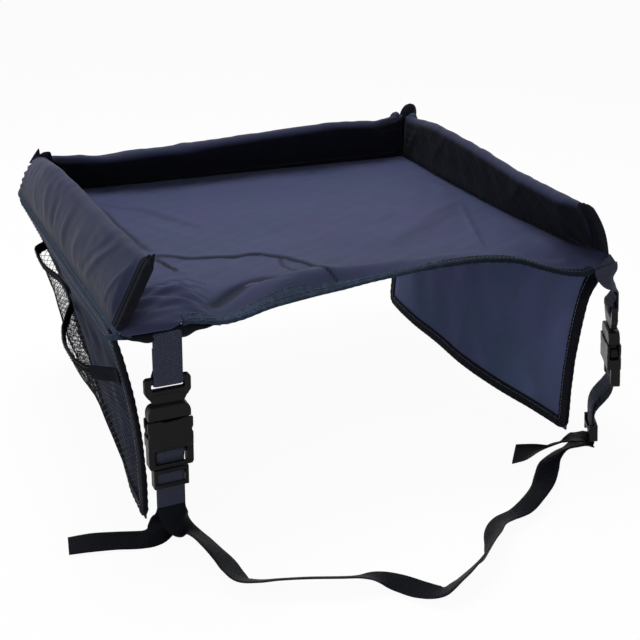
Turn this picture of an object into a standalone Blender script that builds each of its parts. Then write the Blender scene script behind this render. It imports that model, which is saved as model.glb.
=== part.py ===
"""A car seat tray table: a stiff board in a nylon floor, three padded walls, two hanging flaps with
mesh pockets, and a waist strap with a buckle and a slider at each front corner.

Metres. +X is the child's right, +Y is away from the child's lap edge, +Z is up. The origin is the middle
of the flat underside, which rests on the child's lap or on the arms of the seat.
"""

import math

import bpy
import bmesh
import numpy as np
from mathutils import Matrix, Vector

# Cloth, gaps and the cutters' overrun
CLOTH = 0.0012
GAP = 0.0003
OVERRUN = 0.0020

# Floor of the tray
TRAY_WIDTH = 0.400
TRAY_DEPTH = 0.330
FRONT_BOW = 0.034
BOARD_THICKNESS = 0.0025
BOARD_PLAY = 0.0020
HEM_WIDTH = 0.0130
APRON_DEPTH = 0.047
APRON_DROOP = 0.0160
APRON_DROOP_SHARES = ((-1.0, 0.0), (-0.94, 0.05), (-0.80, 0.20), (-0.68, 0.62), (-0.53, 0.72),
                      (-0.42, 0.55), (-0.25, 0.55), (-0.10, 0.55), (0.10, 0.30), (0.30, 0.0),
                      (0.45, -0.20), (0.60, -0.12), (0.70, 0.35), (0.82, 0.80), (0.94, 0.95),
                      (0.985, 0.0), (1.0, 0.0))
BINDING_DEPTH = 0.0100
BINDING_WALL = 0.0010
BINDING_ROWS = 4
FLOOR_STATIONS = 32
APRON_ROWS = 8

# Padded walls
WALL_HEIGHT = 0.050
LEFT_CORNER_LEAN = math.radians(18.0)
RIGHT_CORNER_LEAN = math.radians(0.0)
LEFT_WALL_LEANS = ((0.0, math.radians(27.0)), (0.2, math.radians(18.0)), (0.5, math.radians(15.0)),
                   (0.75, math.radians(11.0)), (1.0, LEFT_CORNER_LEAN))
RIGHT_WALL_LEANS = ((0.0, math.radians(30.0)), (0.3, math.radians(26.0)), (0.5, math.radians(18.0)),
                    (0.8, math.radians(9.0)), (1.0, RIGHT_CORNER_LEAN))
BACK_WALL_LEANS = ((0.0, LEFT_CORNER_LEAN), (0.1, math.radians(36.0)), (0.3, math.radians(37.0)),
                   (0.5, math.radians(31.0)), (0.75, math.radians(24.0)), (0.93, math.radians(18.0)),
                   (1.0, RIGHT_CORNER_LEAN))
WALL_LEAN_STEP = math.radians(4.0)
WALL_ROWS = 4
WALL_FOAM = 0.0080
FOAM_PLAY = 0.0008
END_STRIP_WIDTH = 0.0120
END_STRIP_VALLEY = 0.0015
END_STRIP_SPIKE = 0.0070
# Across the double band: the place, the share of the valley's depth and the share of the spike's height
END_STRIP_SHARES = ((0.0, 1.0, 0.0), (0.08, 0.0, 0.0), (0.25, 0.0, 1.0), (0.42, 0.0, 0.0),
                    (0.50, 1.0, 0.0), (0.58, 0.0, 0.0), (0.75, 0.0, 0.5), (0.92, 0.0, 0.0),
                    (1.0, 0.0, 0.0))
CORNER_TAPE = 0.0015
CORNER_TIP = 0.0070
CORNER_GAP = 0.00045
WALL_ARC_STEPS = 8

# Hanging flaps
FLAP_DROP = 0.156
LEFT_FLAP_FRONT_INSET = 0.022
RIGHT_FLAP_FRONT_INSET = 0.0115
FLAP_BACK_INSET = 0.005
FLAP_HINGE_INSET = 0.0016
FLAP_HINGE_DROP = 0.0025
FLAP_HEAD = 0.0021
LEFT_FLAP_LEAN = math.radians(8.0)
RIGHT_FLAP_LEAN = math.radians(3.0)
FLAP_BINDING_WIDTH = 0.0100
LEFT_FRONT_EDGE_BOW = 0.0140
LEFT_BOW_SHARPNESS = 1.4
LEFT_FLAP_TWIST = 0.0150
LEFT_WAVE = 0.0030
LEFT_HALF_WAVES = 3
RIGHT_HEM_BOW = 0.0140
RIGHT_WAVE = 0.0030
RIGHT_HALF_WAVES = 4
FLAP_CELLS_ALONG = 18
FLAP_CELLS_DOWN = 12

# Mesh pockets on the flaps' outer faces
MESH_THICKNESS = 0.0008
POCKET_TOP = 0.038
POCKET_FRONT_BULGE = 0.0180
POCKET_BACK_BULGE = 0.0080
POCKET_FULLNESS = 1.5
ELASTIC_WIDTH = 0.0080
ELASTIC_THICKNESS = 0.0012
TAB_LENGTH = 0.0200
TAB_WIDTH = 0.0120
TAB_THICKNESS = 0.0010

# Webbing
WEBBING_WIDTH = 0.0205
WEBBING_THICKNESS = 0.0015
PLY_STEP = WEBBING_THICKNESS + GAP
CORNER_REACH_SHARE = 0.49
CORNER_STEPS = 4

# Side-release buckle: socket
BUCKLE_WIDTH = 0.0325
SOCKET_THICKNESS = 0.0110
SOCKET_HOUSING = 0.0215
SOCKET_LADDER = 0.0160
SOCKET_WALL = 0.0020
SOCKET_SIDE_WALL = 0.0035
CAVITY_DEPTH = 0.0200
WINDOW_DEPTH = 0.0130
LADDER_FRONT = 0.0050
LADDER_BACK = 0.0025
LADDER_RAIL = 0.0045
LADDER_BAR_RADIUS = 0.0015
LADDER_BAR_DROP = 0.0275
BOTTOM_BAR_HEIGHT = 0.0030
BOTTOM_BAR_THICKNESS = 0.0024

# Side-release buckle: plug and its latch arms
SHOULDER_WIDTH = 0.0305
SHOULDER_THICKNESS = 0.0090
SHOULDER_HEIGHT = 0.0080
NECK_WIDTH = 0.0225
NECK_HEIGHT = 0.0065
PLUG_PLATE = 0.0050
PLUG_FRAME_HEIGHT = 0.0165
PLUG_SLOT_WIDTH = 0.0235
PLUG_SLOT_HEIGHT = 0.0050
PLUG_TOP_BAR = 0.0040
TONGUE_WIDTH = 0.0050
TONGUE_LENGTH = 0.0170
LATCH_LENGTH = 0.0160
LATCH_ROOT = 0.0040
LATCH_SPACING = 0.0180
LATCH_REACH = 0.0161
LATCH_THICKNESS = 0.0056
LATCH_SHARES = ((0.52, 0.19), (0.96, 0.31), (1.0, 0.62), (0.50, 0.80), (0.14, 1.0), (-0.20, 1.0),
                (-0.07, 0.75), (-0.23, 0.25))

# Slider on the doubled webbing
SLIDER_WIDTH = 0.0255
SLIDER_HEIGHT = 0.0150
SLIDER_THICKNESS = 0.0072
SLIDER_BAR_HEIGHT = 0.0030
SLIDER_BAR_THICKNESS = 0.0016
SLIDER_SIDE_PLAY = 0.0005

# Where each strap hangs: the buckle's mouth, its turn about the vertical and its forward tilt
LEFT_BUCKLE_IN = 0.034
LEFT_BUCKLE_BEHIND = 0.0050
LEFT_BUCKLE_DROP = 0.067
RIGHT_BUCKLE_OUT = 0.0060
RIGHT_BUCKLE_AHEAD = 0.0085
RIGHT_BUCKLE_DROP = 0.065
RIGHT_BUCKLE_TURN = math.radians(61.0)
RIGHT_BUCKLE_TILT = math.radians(7.0)
ANCHOR_RUN = 0.0140
LEFT_ANCHOR_SEWN = 0.0160
RIGHT_ANCHOR_SEWN = 0.0030
RIGHT_ANCHOR_TWIST_START = 0.0430
LEFT_LOOP_LENGTH = 0.071
LEFT_SLIDER_DROP = 0.047
RIGHT_LOOP_LENGTH = 0.091
RIGHT_SLIDER_DROP = 0.082
RIGHT_SLIDER_TRAVEL = 0.0080
RIGHT_LOOP_SWING = 0.0155
RIGHT_LOOP_BELLY = 0.0035
FLOOR_BELOW = 0.1655

# The loose webbing, from the left slider round to the right one, and the two free ends: for each point
# its place and the direction from one edge of the webbing to the other. The belt's places are measured
# from the middle of the front edge, for a tray of the route's own width, and the others from their corner
ROUTE_WIDTH = 0.400
BELT_ROUTE = [
    ((-0.165, 0.0025, -0.146), (-1.00, 0.00, 0.00)),
    ((-0.161, 0.001, -0.154), (-0.90, -0.20, 0.10)),
    ((-0.154, -0.004, -0.159), (-0.85, -0.30, 0.40)),
    ((-0.150, -0.015, -0.159), (-0.80, -0.25, 0.50)),
    ((-0.147, -0.029, -0.159), (-0.82, -0.15, 0.50)),
    ((-0.144, -0.043, -0.160), (-0.85, -0.20, 0.45)),
    ((-0.143, -0.058, -0.160), (-0.80, -0.40, 0.45)),
    ((-0.141, -0.070, -0.159), (-0.55, -0.70, 0.50)),
    ((-0.132, -0.077, -0.158), (-0.35, -0.75, 0.55)),
    ((-0.118, -0.081, -0.158), (-0.32, -0.74, 0.59)),
    ((-0.100, -0.087, -0.158), (-0.34, -0.73, 0.58)),
    ((-0.080, -0.095, -0.158), (-0.38, -0.72, 0.58)),
    ((-0.066, -0.099, -0.159), (-0.42, -0.72, 0.55)),
    ((-0.052, -0.102, -0.162), (-0.62, -0.70, 0.25)),
    ((-0.041, -0.110, -0.164), (-0.76, -0.65, 0.05)),
    ((-0.031, -0.122, -0.164), (-0.82, -0.57, 0.05)),
    ((-0.020, -0.132, -0.162), (-0.50, -0.75, 0.30)),
    ((-0.007, -0.130, -0.158), (0.00, -0.70, 0.70)),
    ((0.012, -0.122, -0.155), (0.18, -0.50, 0.85)),
    ((0.028, -0.113, -0.154), (0.17, -0.26, 0.95)),
    ((0.040, -0.101, -0.156), (0.25, -0.50, 0.80)),
    ((0.052, -0.087, -0.158), (0.30, -0.75, 0.60)),
    ((0.066, -0.078, -0.160), (0.20, -0.90, 0.40)),
    ((0.084, -0.073, -0.161), (0.35, -0.87, 0.35)),
    ((0.103, -0.063, -0.160), (0.45, -0.80, 0.40)),
    ((0.120, -0.051, -0.160), (0.55, -0.72, 0.42)),
    ((0.134, -0.037, -0.160), (0.65, -0.66, 0.42)),
    ((0.147, -0.024, -0.159), (0.40, -0.80, 0.50)),
    ((0.163, -0.016, -0.158), (0.10, -0.85, 0.60)),
    ((0.178, -0.013, -0.1588), (0.00, -0.85, 0.45)),
    ((0.190, -0.0085, -0.1612), (-0.20, -0.88, 0.25)),
    ((0.198, -0.0055, -0.1632), (-0.42, -0.90, 0.10)),
    ((0.2022, -0.0063, -0.1617), (-0.49, -0.87, 0.00)),
]
LEFT_TAIL_ROUTE = [
    ((0.033, 0.008, -0.147), (-1.00, 0.05, 0.00)),
    ((0.031, 0.010, -0.153), (-0.97, 0.20, 0.10)),
    ((0.028, 0.010, -0.159), (-0.80, 0.55, 0.20)),
    ((0.022, 0.007, -0.163), (-0.30, 0.90, 0.10)),
    ((0.013, 0.007, -0.164), (0.30, 0.95, 0.05)),
    ((-0.005, 0.013, -0.164), (0.35, 0.93, 0.05)),
    ((-0.022, 0.017, -0.1635), (0.25, 0.95, 0.08)),
    ((-0.038, 0.020, -0.164), (0.20, 0.97, 0.03)),
]
RIGHT_TAIL_ROUTE = [
    ((-0.0015, -0.0045, -0.1586), (-0.49, -0.87, 0.00)),
    ((-0.0055, -0.004, -0.1588), (-0.42, -0.90, 0.04)),
    ((-0.013, -0.0065, -0.157), (-0.20, -0.88, 0.18)),
    ((-0.024, -0.0105, -0.1545), (0.00, -0.85, 0.45)),
    ((-0.037, -0.011, -0.153), (0.10, -0.85, 0.60)),
    ((-0.052, -0.013, -0.154), (0.05, -0.70, 0.70)),
    ((-0.066, -0.013, -0.154), (0.05, -0.35, 0.95)),
    ((-0.080, -0.011, -0.154), (0.00, -0.15, 1.00)),
]
RIGHT_ANCHOR_ROUTE = [
    ((-0.0025, -0.002, 0.000), (0.95, -0.05, 0.20)),
    ((-0.001, -0.0022, -0.006), (0.95, -0.05, 0.15)),
    ((0.001, -0.004, -0.015), (0.80, 0.45, 0.05)),
]

# Levels and edges worked out from the sizes above
HALF_WIDTH = TRAY_WIDTH / 2
BACK_EDGE = TRAY_DEPTH / 2
FRONT_EDGE = -TRAY_DEPTH / 2
APRON_START = FRONT_EDGE + APRON_DEPTH
SHEET_UNDER = CLOTH + GAP + BOARD_THICKNESS + GAP
FLOOR_TOP = SHEET_UNDER + CLOTH
WALL_FOOT = FLOOR_TOP + GAP
WALL_THICKNESS = WALL_FOAM + 2 * (CLOTH + GAP)
FRONT_LEAN = max(LEFT_WALL_LEANS[0][1], RIGHT_WALL_LEANS[0][1])
WALL_FOOT_DEPTH = WALL_THICKNESS / math.cos(FRONT_LEAN)
BINDING_HALF = CLOTH / 2 + GAP + BINDING_WALL
LEFT_FLAP_FRONT = FRONT_EDGE + LEFT_FLAP_FRONT_INSET
RIGHT_FLAP_FRONT = FRONT_EDGE + RIGHT_FLAP_FRONT_INSET
FLAP_BACK = BACK_EDGE - FLAP_BACK_INSET
FLAP_LIP = FLAP_BINDING_WIDTH - BINDING_WALL - GAP
POCKET_BACK = FLAP_BACK - FLAP_LIP - GAP
POCKET_FOOT = FLAP_DROP - FLAP_LIP - GAP
MESH_LEVEL = CLOTH / 2 + GAP


def material(name, colour, roughness, metallic=0.0):
    """A plain Principled material."""
    made = bpy.data.materials.new(name)
    made.use_nodes = True
    shader = made.node_tree.nodes["Principled BSDF"]
    shader.inputs["Base Color"].default_value = (*colour, 1.0)
    shader.inputs["Roughness"].default_value = roughness
    shader.inputs["Metallic"].default_value = metallic
    return made


def smooth_step(share):
    """0 to 1 with level ends; the input is clamped."""
    share = np.clip(share, 0.0, 1.0)
    return share * share * (3.0 - 2.0 * share)


def add_object(name, points, faces, finish, pivot=None):
    """One object from points and faces, its faces turned outward and its origin at the pivot empty."""
    grid = bmesh.new()
    corners = [grid.verts.new(point) for point in points]
    for face in faces:
        grid.faces.new([corners[index] for index in face])
    bmesh.ops.recalc_face_normals(grid, faces=grid.faces)
    mesh = bpy.data.meshes.new(name)
    grid.to_mesh(mesh)
    grid.free()
    mesh.materials.append(finish)
    made = bpy.data.objects.new(name, mesh)
    bpy.context.collection.objects.link(made)
    if pivot is not None:
        mesh.transform(Matrix.Translation(-pivot.location))
        made.parent = pivot
    return made


def add_pivot(name, place):
    """An empty on a joint's axis."""
    pivot = bpy.data.objects.new(name, None)
    pivot.location = place
    bpy.context.collection.objects.link(pivot)
    return pivot


def lofted(rings):
    """Points and faces of a solid through equal rings, closed by a face at each end."""
    count = len(rings[0])
    points = [point for ring in rings for point in ring]
    faces = []
    for ring in range(len(rings) - 1):
        for corner in range(count):
            following = (corner + 1) % count
            faces.append((ring * count + corner, ring * count + following,
                          (ring + 1) * count + following, (ring + 1) * count + corner))
    faces.append(tuple(range(count)))
    faces.append(tuple((len(rings) - 1) * count + corner for corner in range(count)))
    return points, faces


def layered(upper, lower):
    """Points and faces of a closed sheet between two grids of points, rows by columns."""
    rows, columns = upper.shape[:2]
    points = [tuple(point) for point in np.concatenate([upper.reshape(-1, 3), lower.reshape(-1, 3)])]
    under = rows * columns
    faces = []
    for row in range(rows - 1):
        for column in range(columns - 1):
            first = row * columns + column
            square = (first, first + 1, first + columns + 1, first + columns)
            faces.append(square)
            faces.append(tuple(under + index for index in reversed(square)))
    rim = [column for column in range(columns)]
    rim += [row * columns + columns - 1 for row in range(1, rows)]
    rim += [(rows - 1) * columns + column for column in range(columns - 2, -1, -1)]
    rim += [row * columns for row in range(rows - 2, 0, -1)]
    for place, index in enumerate(rim):
        following = rim[(place + 1) % len(rim)]
        faces.append((index, under + index, under + following, following))
    return points, faces


def extruded(outline, place, low, high):
    """Points and faces of an outline carried from low to high; place maps (u, v, w) to a point."""
    return lofted([[place(u, v, low) for u, v in outline], [place(u, v, high) for u, v in outline]])


def cuboid(place, low, high):
    """Points and faces of a block between two corners, in the frame that place maps from."""
    outline = [(low[0], low[1]), (high[0], low[1]), (high[0], high[1]), (low[0], high[1])]
    return extruded(outline, place, low[2], high[2])


def together(*solids):
    """Several separate solids as one list of points and faces."""
    points, faces = [], []
    for some_points, some_faces in solids:
        start = len(points)
        points += list(some_points)
        faces += [tuple(start + index for index in face) for face in some_faces]
    return points, faces


def join_or_cut(target, name, solid, operation):
    """A Boolean on the target with a hidden wire cutter that follows the target's pivot."""
    cutter = add_object(name, *solid, target.data.materials[0], target.parent)
    cutter.hide_render = True
    cutter.display_type = "WIRE"
    change = target.modifiers.new(name, "BOOLEAN")
    change.operation = operation
    change.object = cutter
    change.solver = "EXACT"


# Floor

def front_edge(x):
    """The front edge of the floor sheet, bowed in at its middle."""
    return FRONT_EDGE + FRONT_BOW * np.cos(math.pi * x / TRAY_WIDTH) ** 2


def sheet_drop(x, y):
    """How far the apron in front of the board droops at a point of the sheet."""
    places, depths = zip(*APRON_DROOP_SHARES)
    depth = APRON_DROOP * np.interp(x / HALF_WIDTH, places, depths)
    return depth * smooth_step((APRON_START - y) / (APRON_START - front_edge(x)))


def sheet_middle(x, y):
    """The height of the floor sheet's middle layer."""
    return SHEET_UNDER + CLOTH / 2 - sheet_drop(x, y)


def binding_stations():
    """Where along X the front binding is worked out: between the walls' feet."""
    reach = HALF_WIDTH - WALL_FOOT_DEPTH - GAP
    return np.linspace(-reach, reach, FLOOR_STATIONS + 1)


def build_floor(nylon, board_plastic, black_tape):
    """The board, the sheets on and under it, the hems round it and the binding on the front edge."""
    inside = HALF_WIDTH - HEM_WIDTH - GAP
    back_inside = BACK_EDGE - HEM_WIDTH - GAP
    lip_front = APRON_START
    lip_back = lip_front + CLOTH
    board_front = lip_back + BOARD_PLAY
    board_side = inside - BOARD_PLAY

    def upright(x, y, z):
        return (x, y, z)

    def crosswise(y, z, x):
        return (x, y, z)

    board = cuboid(upright, (-board_side, board_front, CLOTH + GAP),
                   (board_side, back_inside - BOARD_PLAY, CLOTH + GAP + BOARD_THICKNESS))
    add_object("base_board", *board, board_plastic)

    lip_top = SHEET_UNDER - GAP
    profile = [(back_inside, 0.0), (lip_front, 0.0), (lip_front, lip_top), (lip_back, lip_top),
               (lip_back, CLOTH), (back_inside, CLOTH)]
    add_object("bottom_sheet", *extruded(profile, crosswise, -inside, inside), nylon)

    hem_top = SHEET_UNDER - GAP
    for name, side in (("left_side_hem", -1), ("right_side_hem", 1)):
        edges = sorted((side * HALF_WIDTH, side * (HALF_WIDTH - HEM_WIDTH)))
        hem = cuboid(upright, (edges[0], lip_front, 0.0), (edges[1], BACK_EDGE, hem_top))
        add_object(name, *hem, nylon)
    hem = cuboid(upright, (-inside, BACK_EDGE - HEM_WIDTH, 0.0), (inside, BACK_EDGE, hem_top))
    add_object("back_hem", *hem, nylon)

    across = np.concatenate([[-HALF_WIDTH], binding_stations(), [HALF_WIDTH]])
    shares = np.append(np.linspace(0.0, 1.0, APRON_ROWS + 1), 1.0)
    rows = front_edge(across) + (APRON_START - front_edge(across)) * shares[:, None]
    rows[-1] = BACK_EDGE
    across = np.broadcast_to(across, rows.shape)
    middle = sheet_middle(across, rows)
    upper = np.stack([across, rows, middle + CLOTH / 2], axis=-1)
    lower = np.stack([across, rows, middle - CLOTH / 2], axis=-1)
    add_object("top_sheet", *layered(upper, lower), nylon)

    rings = []
    slot = CLOTH / 2 + GAP
    for x in binding_stations():
        edge = float(front_edge(x))
        front = edge - GAP - BINDING_WALL
        slot_end = edge - GAP
        back = front + BINDING_DEPTH
        outside = np.linspace(front, back, BINDING_ROWS + 1)
        inside_slot = np.linspace(slot_end, back, BINDING_ROWS + 1)
        section = [(y, BINDING_HALF) for y in outside[::-1]] + [(y, -BINDING_HALF) for y in outside]
        section += [(y, -slot) for y in inside_slot[::-1]] + [(y, slot) for y in inside_slot]
        rings.append([(x, y, float(sheet_middle(x, y)) + rise) for y, rise in section])
    add_object("front_binding", *lofted(rings), black_tape)


# Walls

def wall_outline(lean, inset, rise=0.0):
    """Half-open outline of a wall's section from its outer foot over the top to its inner foot.

    Each point is (inward, up) from the outer foot line. inset shrinks it inside the skin, and rise lifts
    the middle of the rounded top into a spike.
    """
    radius = WALL_THICKNESS / 2 - inset
    centre = WALL_HEIGHT - WALL_THICKNESS / 2
    far_side = WALL_THICKNESS - inset
    foot, far_foot = inset * math.tan(lean), far_side * math.tan(lean)
    rows = [row / WALL_ROWS for row in range(WALL_ROWS)]
    chain = [(foot + (centre - foot) * row_share, inset) for row_share in rows]
    for step in range(WALL_ARC_STEPS + 1):
        angle = math.pi * step / WALL_ARC_STEPS
        lift = rise * max(0.0, math.sin(angle)) ** 2
        chain.append((centre + radius * math.sin(angle) + lift,
                      WALL_THICKNESS / 2 - radius * math.cos(angle)))
    chain += [(far_foot + (centre - far_foot) * row_share, far_side) for row_share in rows[::-1]]
    return [(slope * math.sin(lean) + across * math.cos(lean),
             slope * math.cos(lean) - across * math.sin(lean)) for slope, across in chain]


def cover_outline(lean):
    """The cover's section: its outer skin and back along its inner one, open at the foot."""
    return wall_outline(lean, 0.0) + wall_outline(lean, CLOTH)[::-1]


def foam_outline(lean):
    """The foam's section inside the cover."""
    return wall_outline(lean, CLOTH + FOAM_PLAY)[::-1]


def tip_outline(lean):
    """A corner tape's section, with its pointed tip."""
    return wall_outline(lean, 0.0, CORNER_TIP)


class Wall:
    """Where one wall stands: how it leans along its length, and where it starts and ends.

    start and end give the place along the wall for an inward depth, so that the corners are mitred.
    """

    def __init__(self, name, leans, place, start, end):
        self.name = name
        self.leans = leans
        self.place = place
        self.start = start
        self.end = end

    def lean(self, share):
        """The wall's lean at a share of its length."""
        shares, leans = zip(*self.leans)
        return float(np.interp(share, shares, leans))

    def stations(self):
        """Shares of the length, close together where the lean changes quickly."""
        shares = [0.0]
        for (first, from_lean), (last, to_lean) in zip(self.leans, self.leans[1:]):
            cells = max(1, math.ceil(abs(to_lean - from_lean) / WALL_LEAN_STEP))
            shares += [first + (last - first) * cell / cells for cell in range(1, cells + 1)]
        return shares

    def solid(self, outline, set_in_start, set_in_end):
        """A section carried along the whole wall, short of its ends by the two distances."""
        rings = []
        for share in self.stations():
            ring = []
            for inward, up in outline(self.lean(share)):
                first = self.start(inward) + set_in_start
                last = self.end(inward) - set_in_end
                ring.append(self.place(inward, first + (last - first) * share, up))
            rings.append(ring)
        return lofted(rings)

    def start_tape(self, near, far):
        """A corner tape across the wall's start, between two distances from it."""
        outline = tip_outline(self.lean(0.0))
        return lofted([[self.place(inward, self.start(inward) + set_in, up) for inward, up in outline]
                       for set_in in (near, far)])

    def end_tape(self, near, far):
        """A corner tape across the wall's end, between two distances from it."""
        outline = tip_outline(self.lean(1.0))
        return lofted([[self.place(inward, self.end(inward) - set_in, up) for inward, up in outline]
                       for set_in in (near, far)])


def walls():
    """The three walls: two at the sides, with a square front end, and one at the back."""
    front = FRONT_EDGE + END_STRIP_WIDTH + GAP

    def left(inward, along, up):
        return (-HALF_WIDTH + inward, along, WALL_FOOT + up)

    def right(inward, along, up):
        return (HALF_WIDTH - inward, along, WALL_FOOT + up)

    def back(inward, along, up):
        return (along, BACK_EDGE - inward, WALL_FOOT + up)

    def square_front(inward):
        return front

    def side_end(inward):
        return BACK_EDGE - inward

    def back_start(inward):
        return inward - HALF_WIDTH

    def back_end(inward):
        return HALF_WIDTH - inward

    return [Wall("left_wall", LEFT_WALL_LEANS, left, square_front, side_end),
            Wall("right_wall", RIGHT_WALL_LEANS, right, square_front, side_end),
            Wall("back_wall", BACK_WALL_LEANS, back, back_start, back_end)]


def build_front_strip(wall, black_tape, pivot):
    """The grooved double band that closes a side wall's front end, with a spike on each band."""
    lean = wall.lean(0.0)
    rings = []
    for place_share, valley_share, spike_share in END_STRIP_SHARES:
        along = FRONT_EDGE + END_STRIP_WIDTH * place_share
        outline = wall_outline(lean, END_STRIP_VALLEY * valley_share, END_STRIP_SPIKE * spike_share)
        rings.append([wall.place(inward, along, up) for inward, up in outline])
    add_object(wall.name + "_front_strip", *lofted(rings), black_tape, pivot)


def build_walls(nylon, foam, black_tape):
    """Each wall's cover and foam, the strips on the front ends and the tapes in the corners."""
    diagonal = math.sqrt(2.0)
    tape_near, tape_far = CORNER_GAP, CORNER_GAP + CORNER_TAPE * diagonal
    cover_set_in = tape_far + GAP * diagonal
    for wall in walls():
        at_back = wall.name == "back_wall"
        pivot = add_pivot(wall.name + "_pivot", wall.place(0.0, 0.0, 0.0))
        set_in_start = cover_set_in if at_back else 0.0
        cover = wall.solid(cover_outline, set_in_start, cover_set_in)
        add_object(wall.name + "_cover", *cover, nylon, pivot)
        filling = wall.solid(foam_outline, set_in_start, cover_set_in)
        add_object(wall.name + "_foam", *filling, foam, pivot)
        end_name = "back_wall_right_strip" if at_back else wall.name + "_back_strip"
        add_object(end_name, *wall.end_tape(tape_near, tape_far), black_tape, pivot)
        if at_back:
            start_tape = wall.start_tape(tape_near, tape_far)
            add_object("back_wall_left_strip", *start_tape, black_tape, pivot)
        else:
            build_front_strip(wall, black_tape, pivot)


# Flaps

def left_fold(down, along):
    """How far the left flap stands out from its plane: it bows in at its front edge and twists."""
    length_share = (along - LEFT_FLAP_FRONT) / (FLAP_BACK - LEFT_FLAP_FRONT)
    drop_share = np.clip(down / FLAP_DROP, 0.0, 1.0)
    frontness = smooth_step(1.0 - 2.0 * length_share)
    belly = -LEFT_FRONT_EDGE_BOW * frontness * np.sin(math.pi * drop_share ** LEFT_BOW_SHARPNESS)
    twist = LEFT_FLAP_TWIST * drop_share * (1.0 - 2.0 * length_share)
    wave = LEFT_WAVE * np.sin(LEFT_HALF_WAVES * math.pi * length_share) * smooth_step(drop_share)
    return belly + twist + wave


def right_fold(down, along):
    """The right flap's hem bows in under the tray between its corners, with a slow wave."""
    length_share = (along - RIGHT_FLAP_FRONT) / (FLAP_BACK - RIGHT_FLAP_FRONT)
    bow = -RIGHT_HEM_BOW * np.sin(math.pi * length_share)
    wave = RIGHT_WAVE * np.sin(RIGHT_HALF_WAVES * math.pi * length_share)
    return (bow + wave) * smooth_step(down / FLAP_DROP)


class Flap:
    """One flap's frame: down from its hinge, along Y, and out from the tray."""

    def __init__(self, side, front, lean, fold):
        self.side = side
        self.front = front
        self.lean = lean
        self.fold = fold
        self.pocket_front = front + FLAP_LIP + GAP
        self.hinge = (side * (HALF_WIDTH - FLAP_HINGE_INSET), 0.0, -FLAP_HINGE_DROP)

    def place(self, down, along, out):
        """Points for arrays of places on the cloth."""
        down, along, out = np.broadcast_arrays(down, along, out)
        total = out + self.fold(down, along)
        inward = down * math.sin(self.lean) - total * math.cos(self.lean)
        sink = down * math.cos(self.lean) + total * math.sin(self.lean)
        return np.stack([self.hinge[0] - self.side * inward, along, self.hinge[2] - sink], axis=-1)

    def patch(self, down, along, low, high):
        """A closed sheet on the flap between two heights over its middle layer."""
        down, along = np.meshgrid(down, along, indexing="ij")
        return layered(self.place(down, along, high(down, along)), self.place(down, along, low(down, along)))

    def bulge(self, down, along):
        """How far the pocket stands off: two bags with the divider's seam between, fullest at the hem."""
        middle = (self.pocket_front + POCKET_BACK) / 2
        start = np.where(along < middle, self.pocket_front, middle)
        end = np.where(along < middle, middle, POCKET_BACK)
        full = np.where(along < middle, POCKET_FRONT_BULGE, POCKET_BACK_BULGE)
        across = np.sin(math.pi * np.clip((along - start) / (end - start), 0.0, 1.0)) ** 2
        depth_share = np.clip((down - POCKET_TOP) / (POCKET_FOOT - POCKET_TOP), 0.0, 1.0)
        return full * across * np.cos(0.5 * math.pi * depth_share) ** POCKET_FULLNESS


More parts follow.
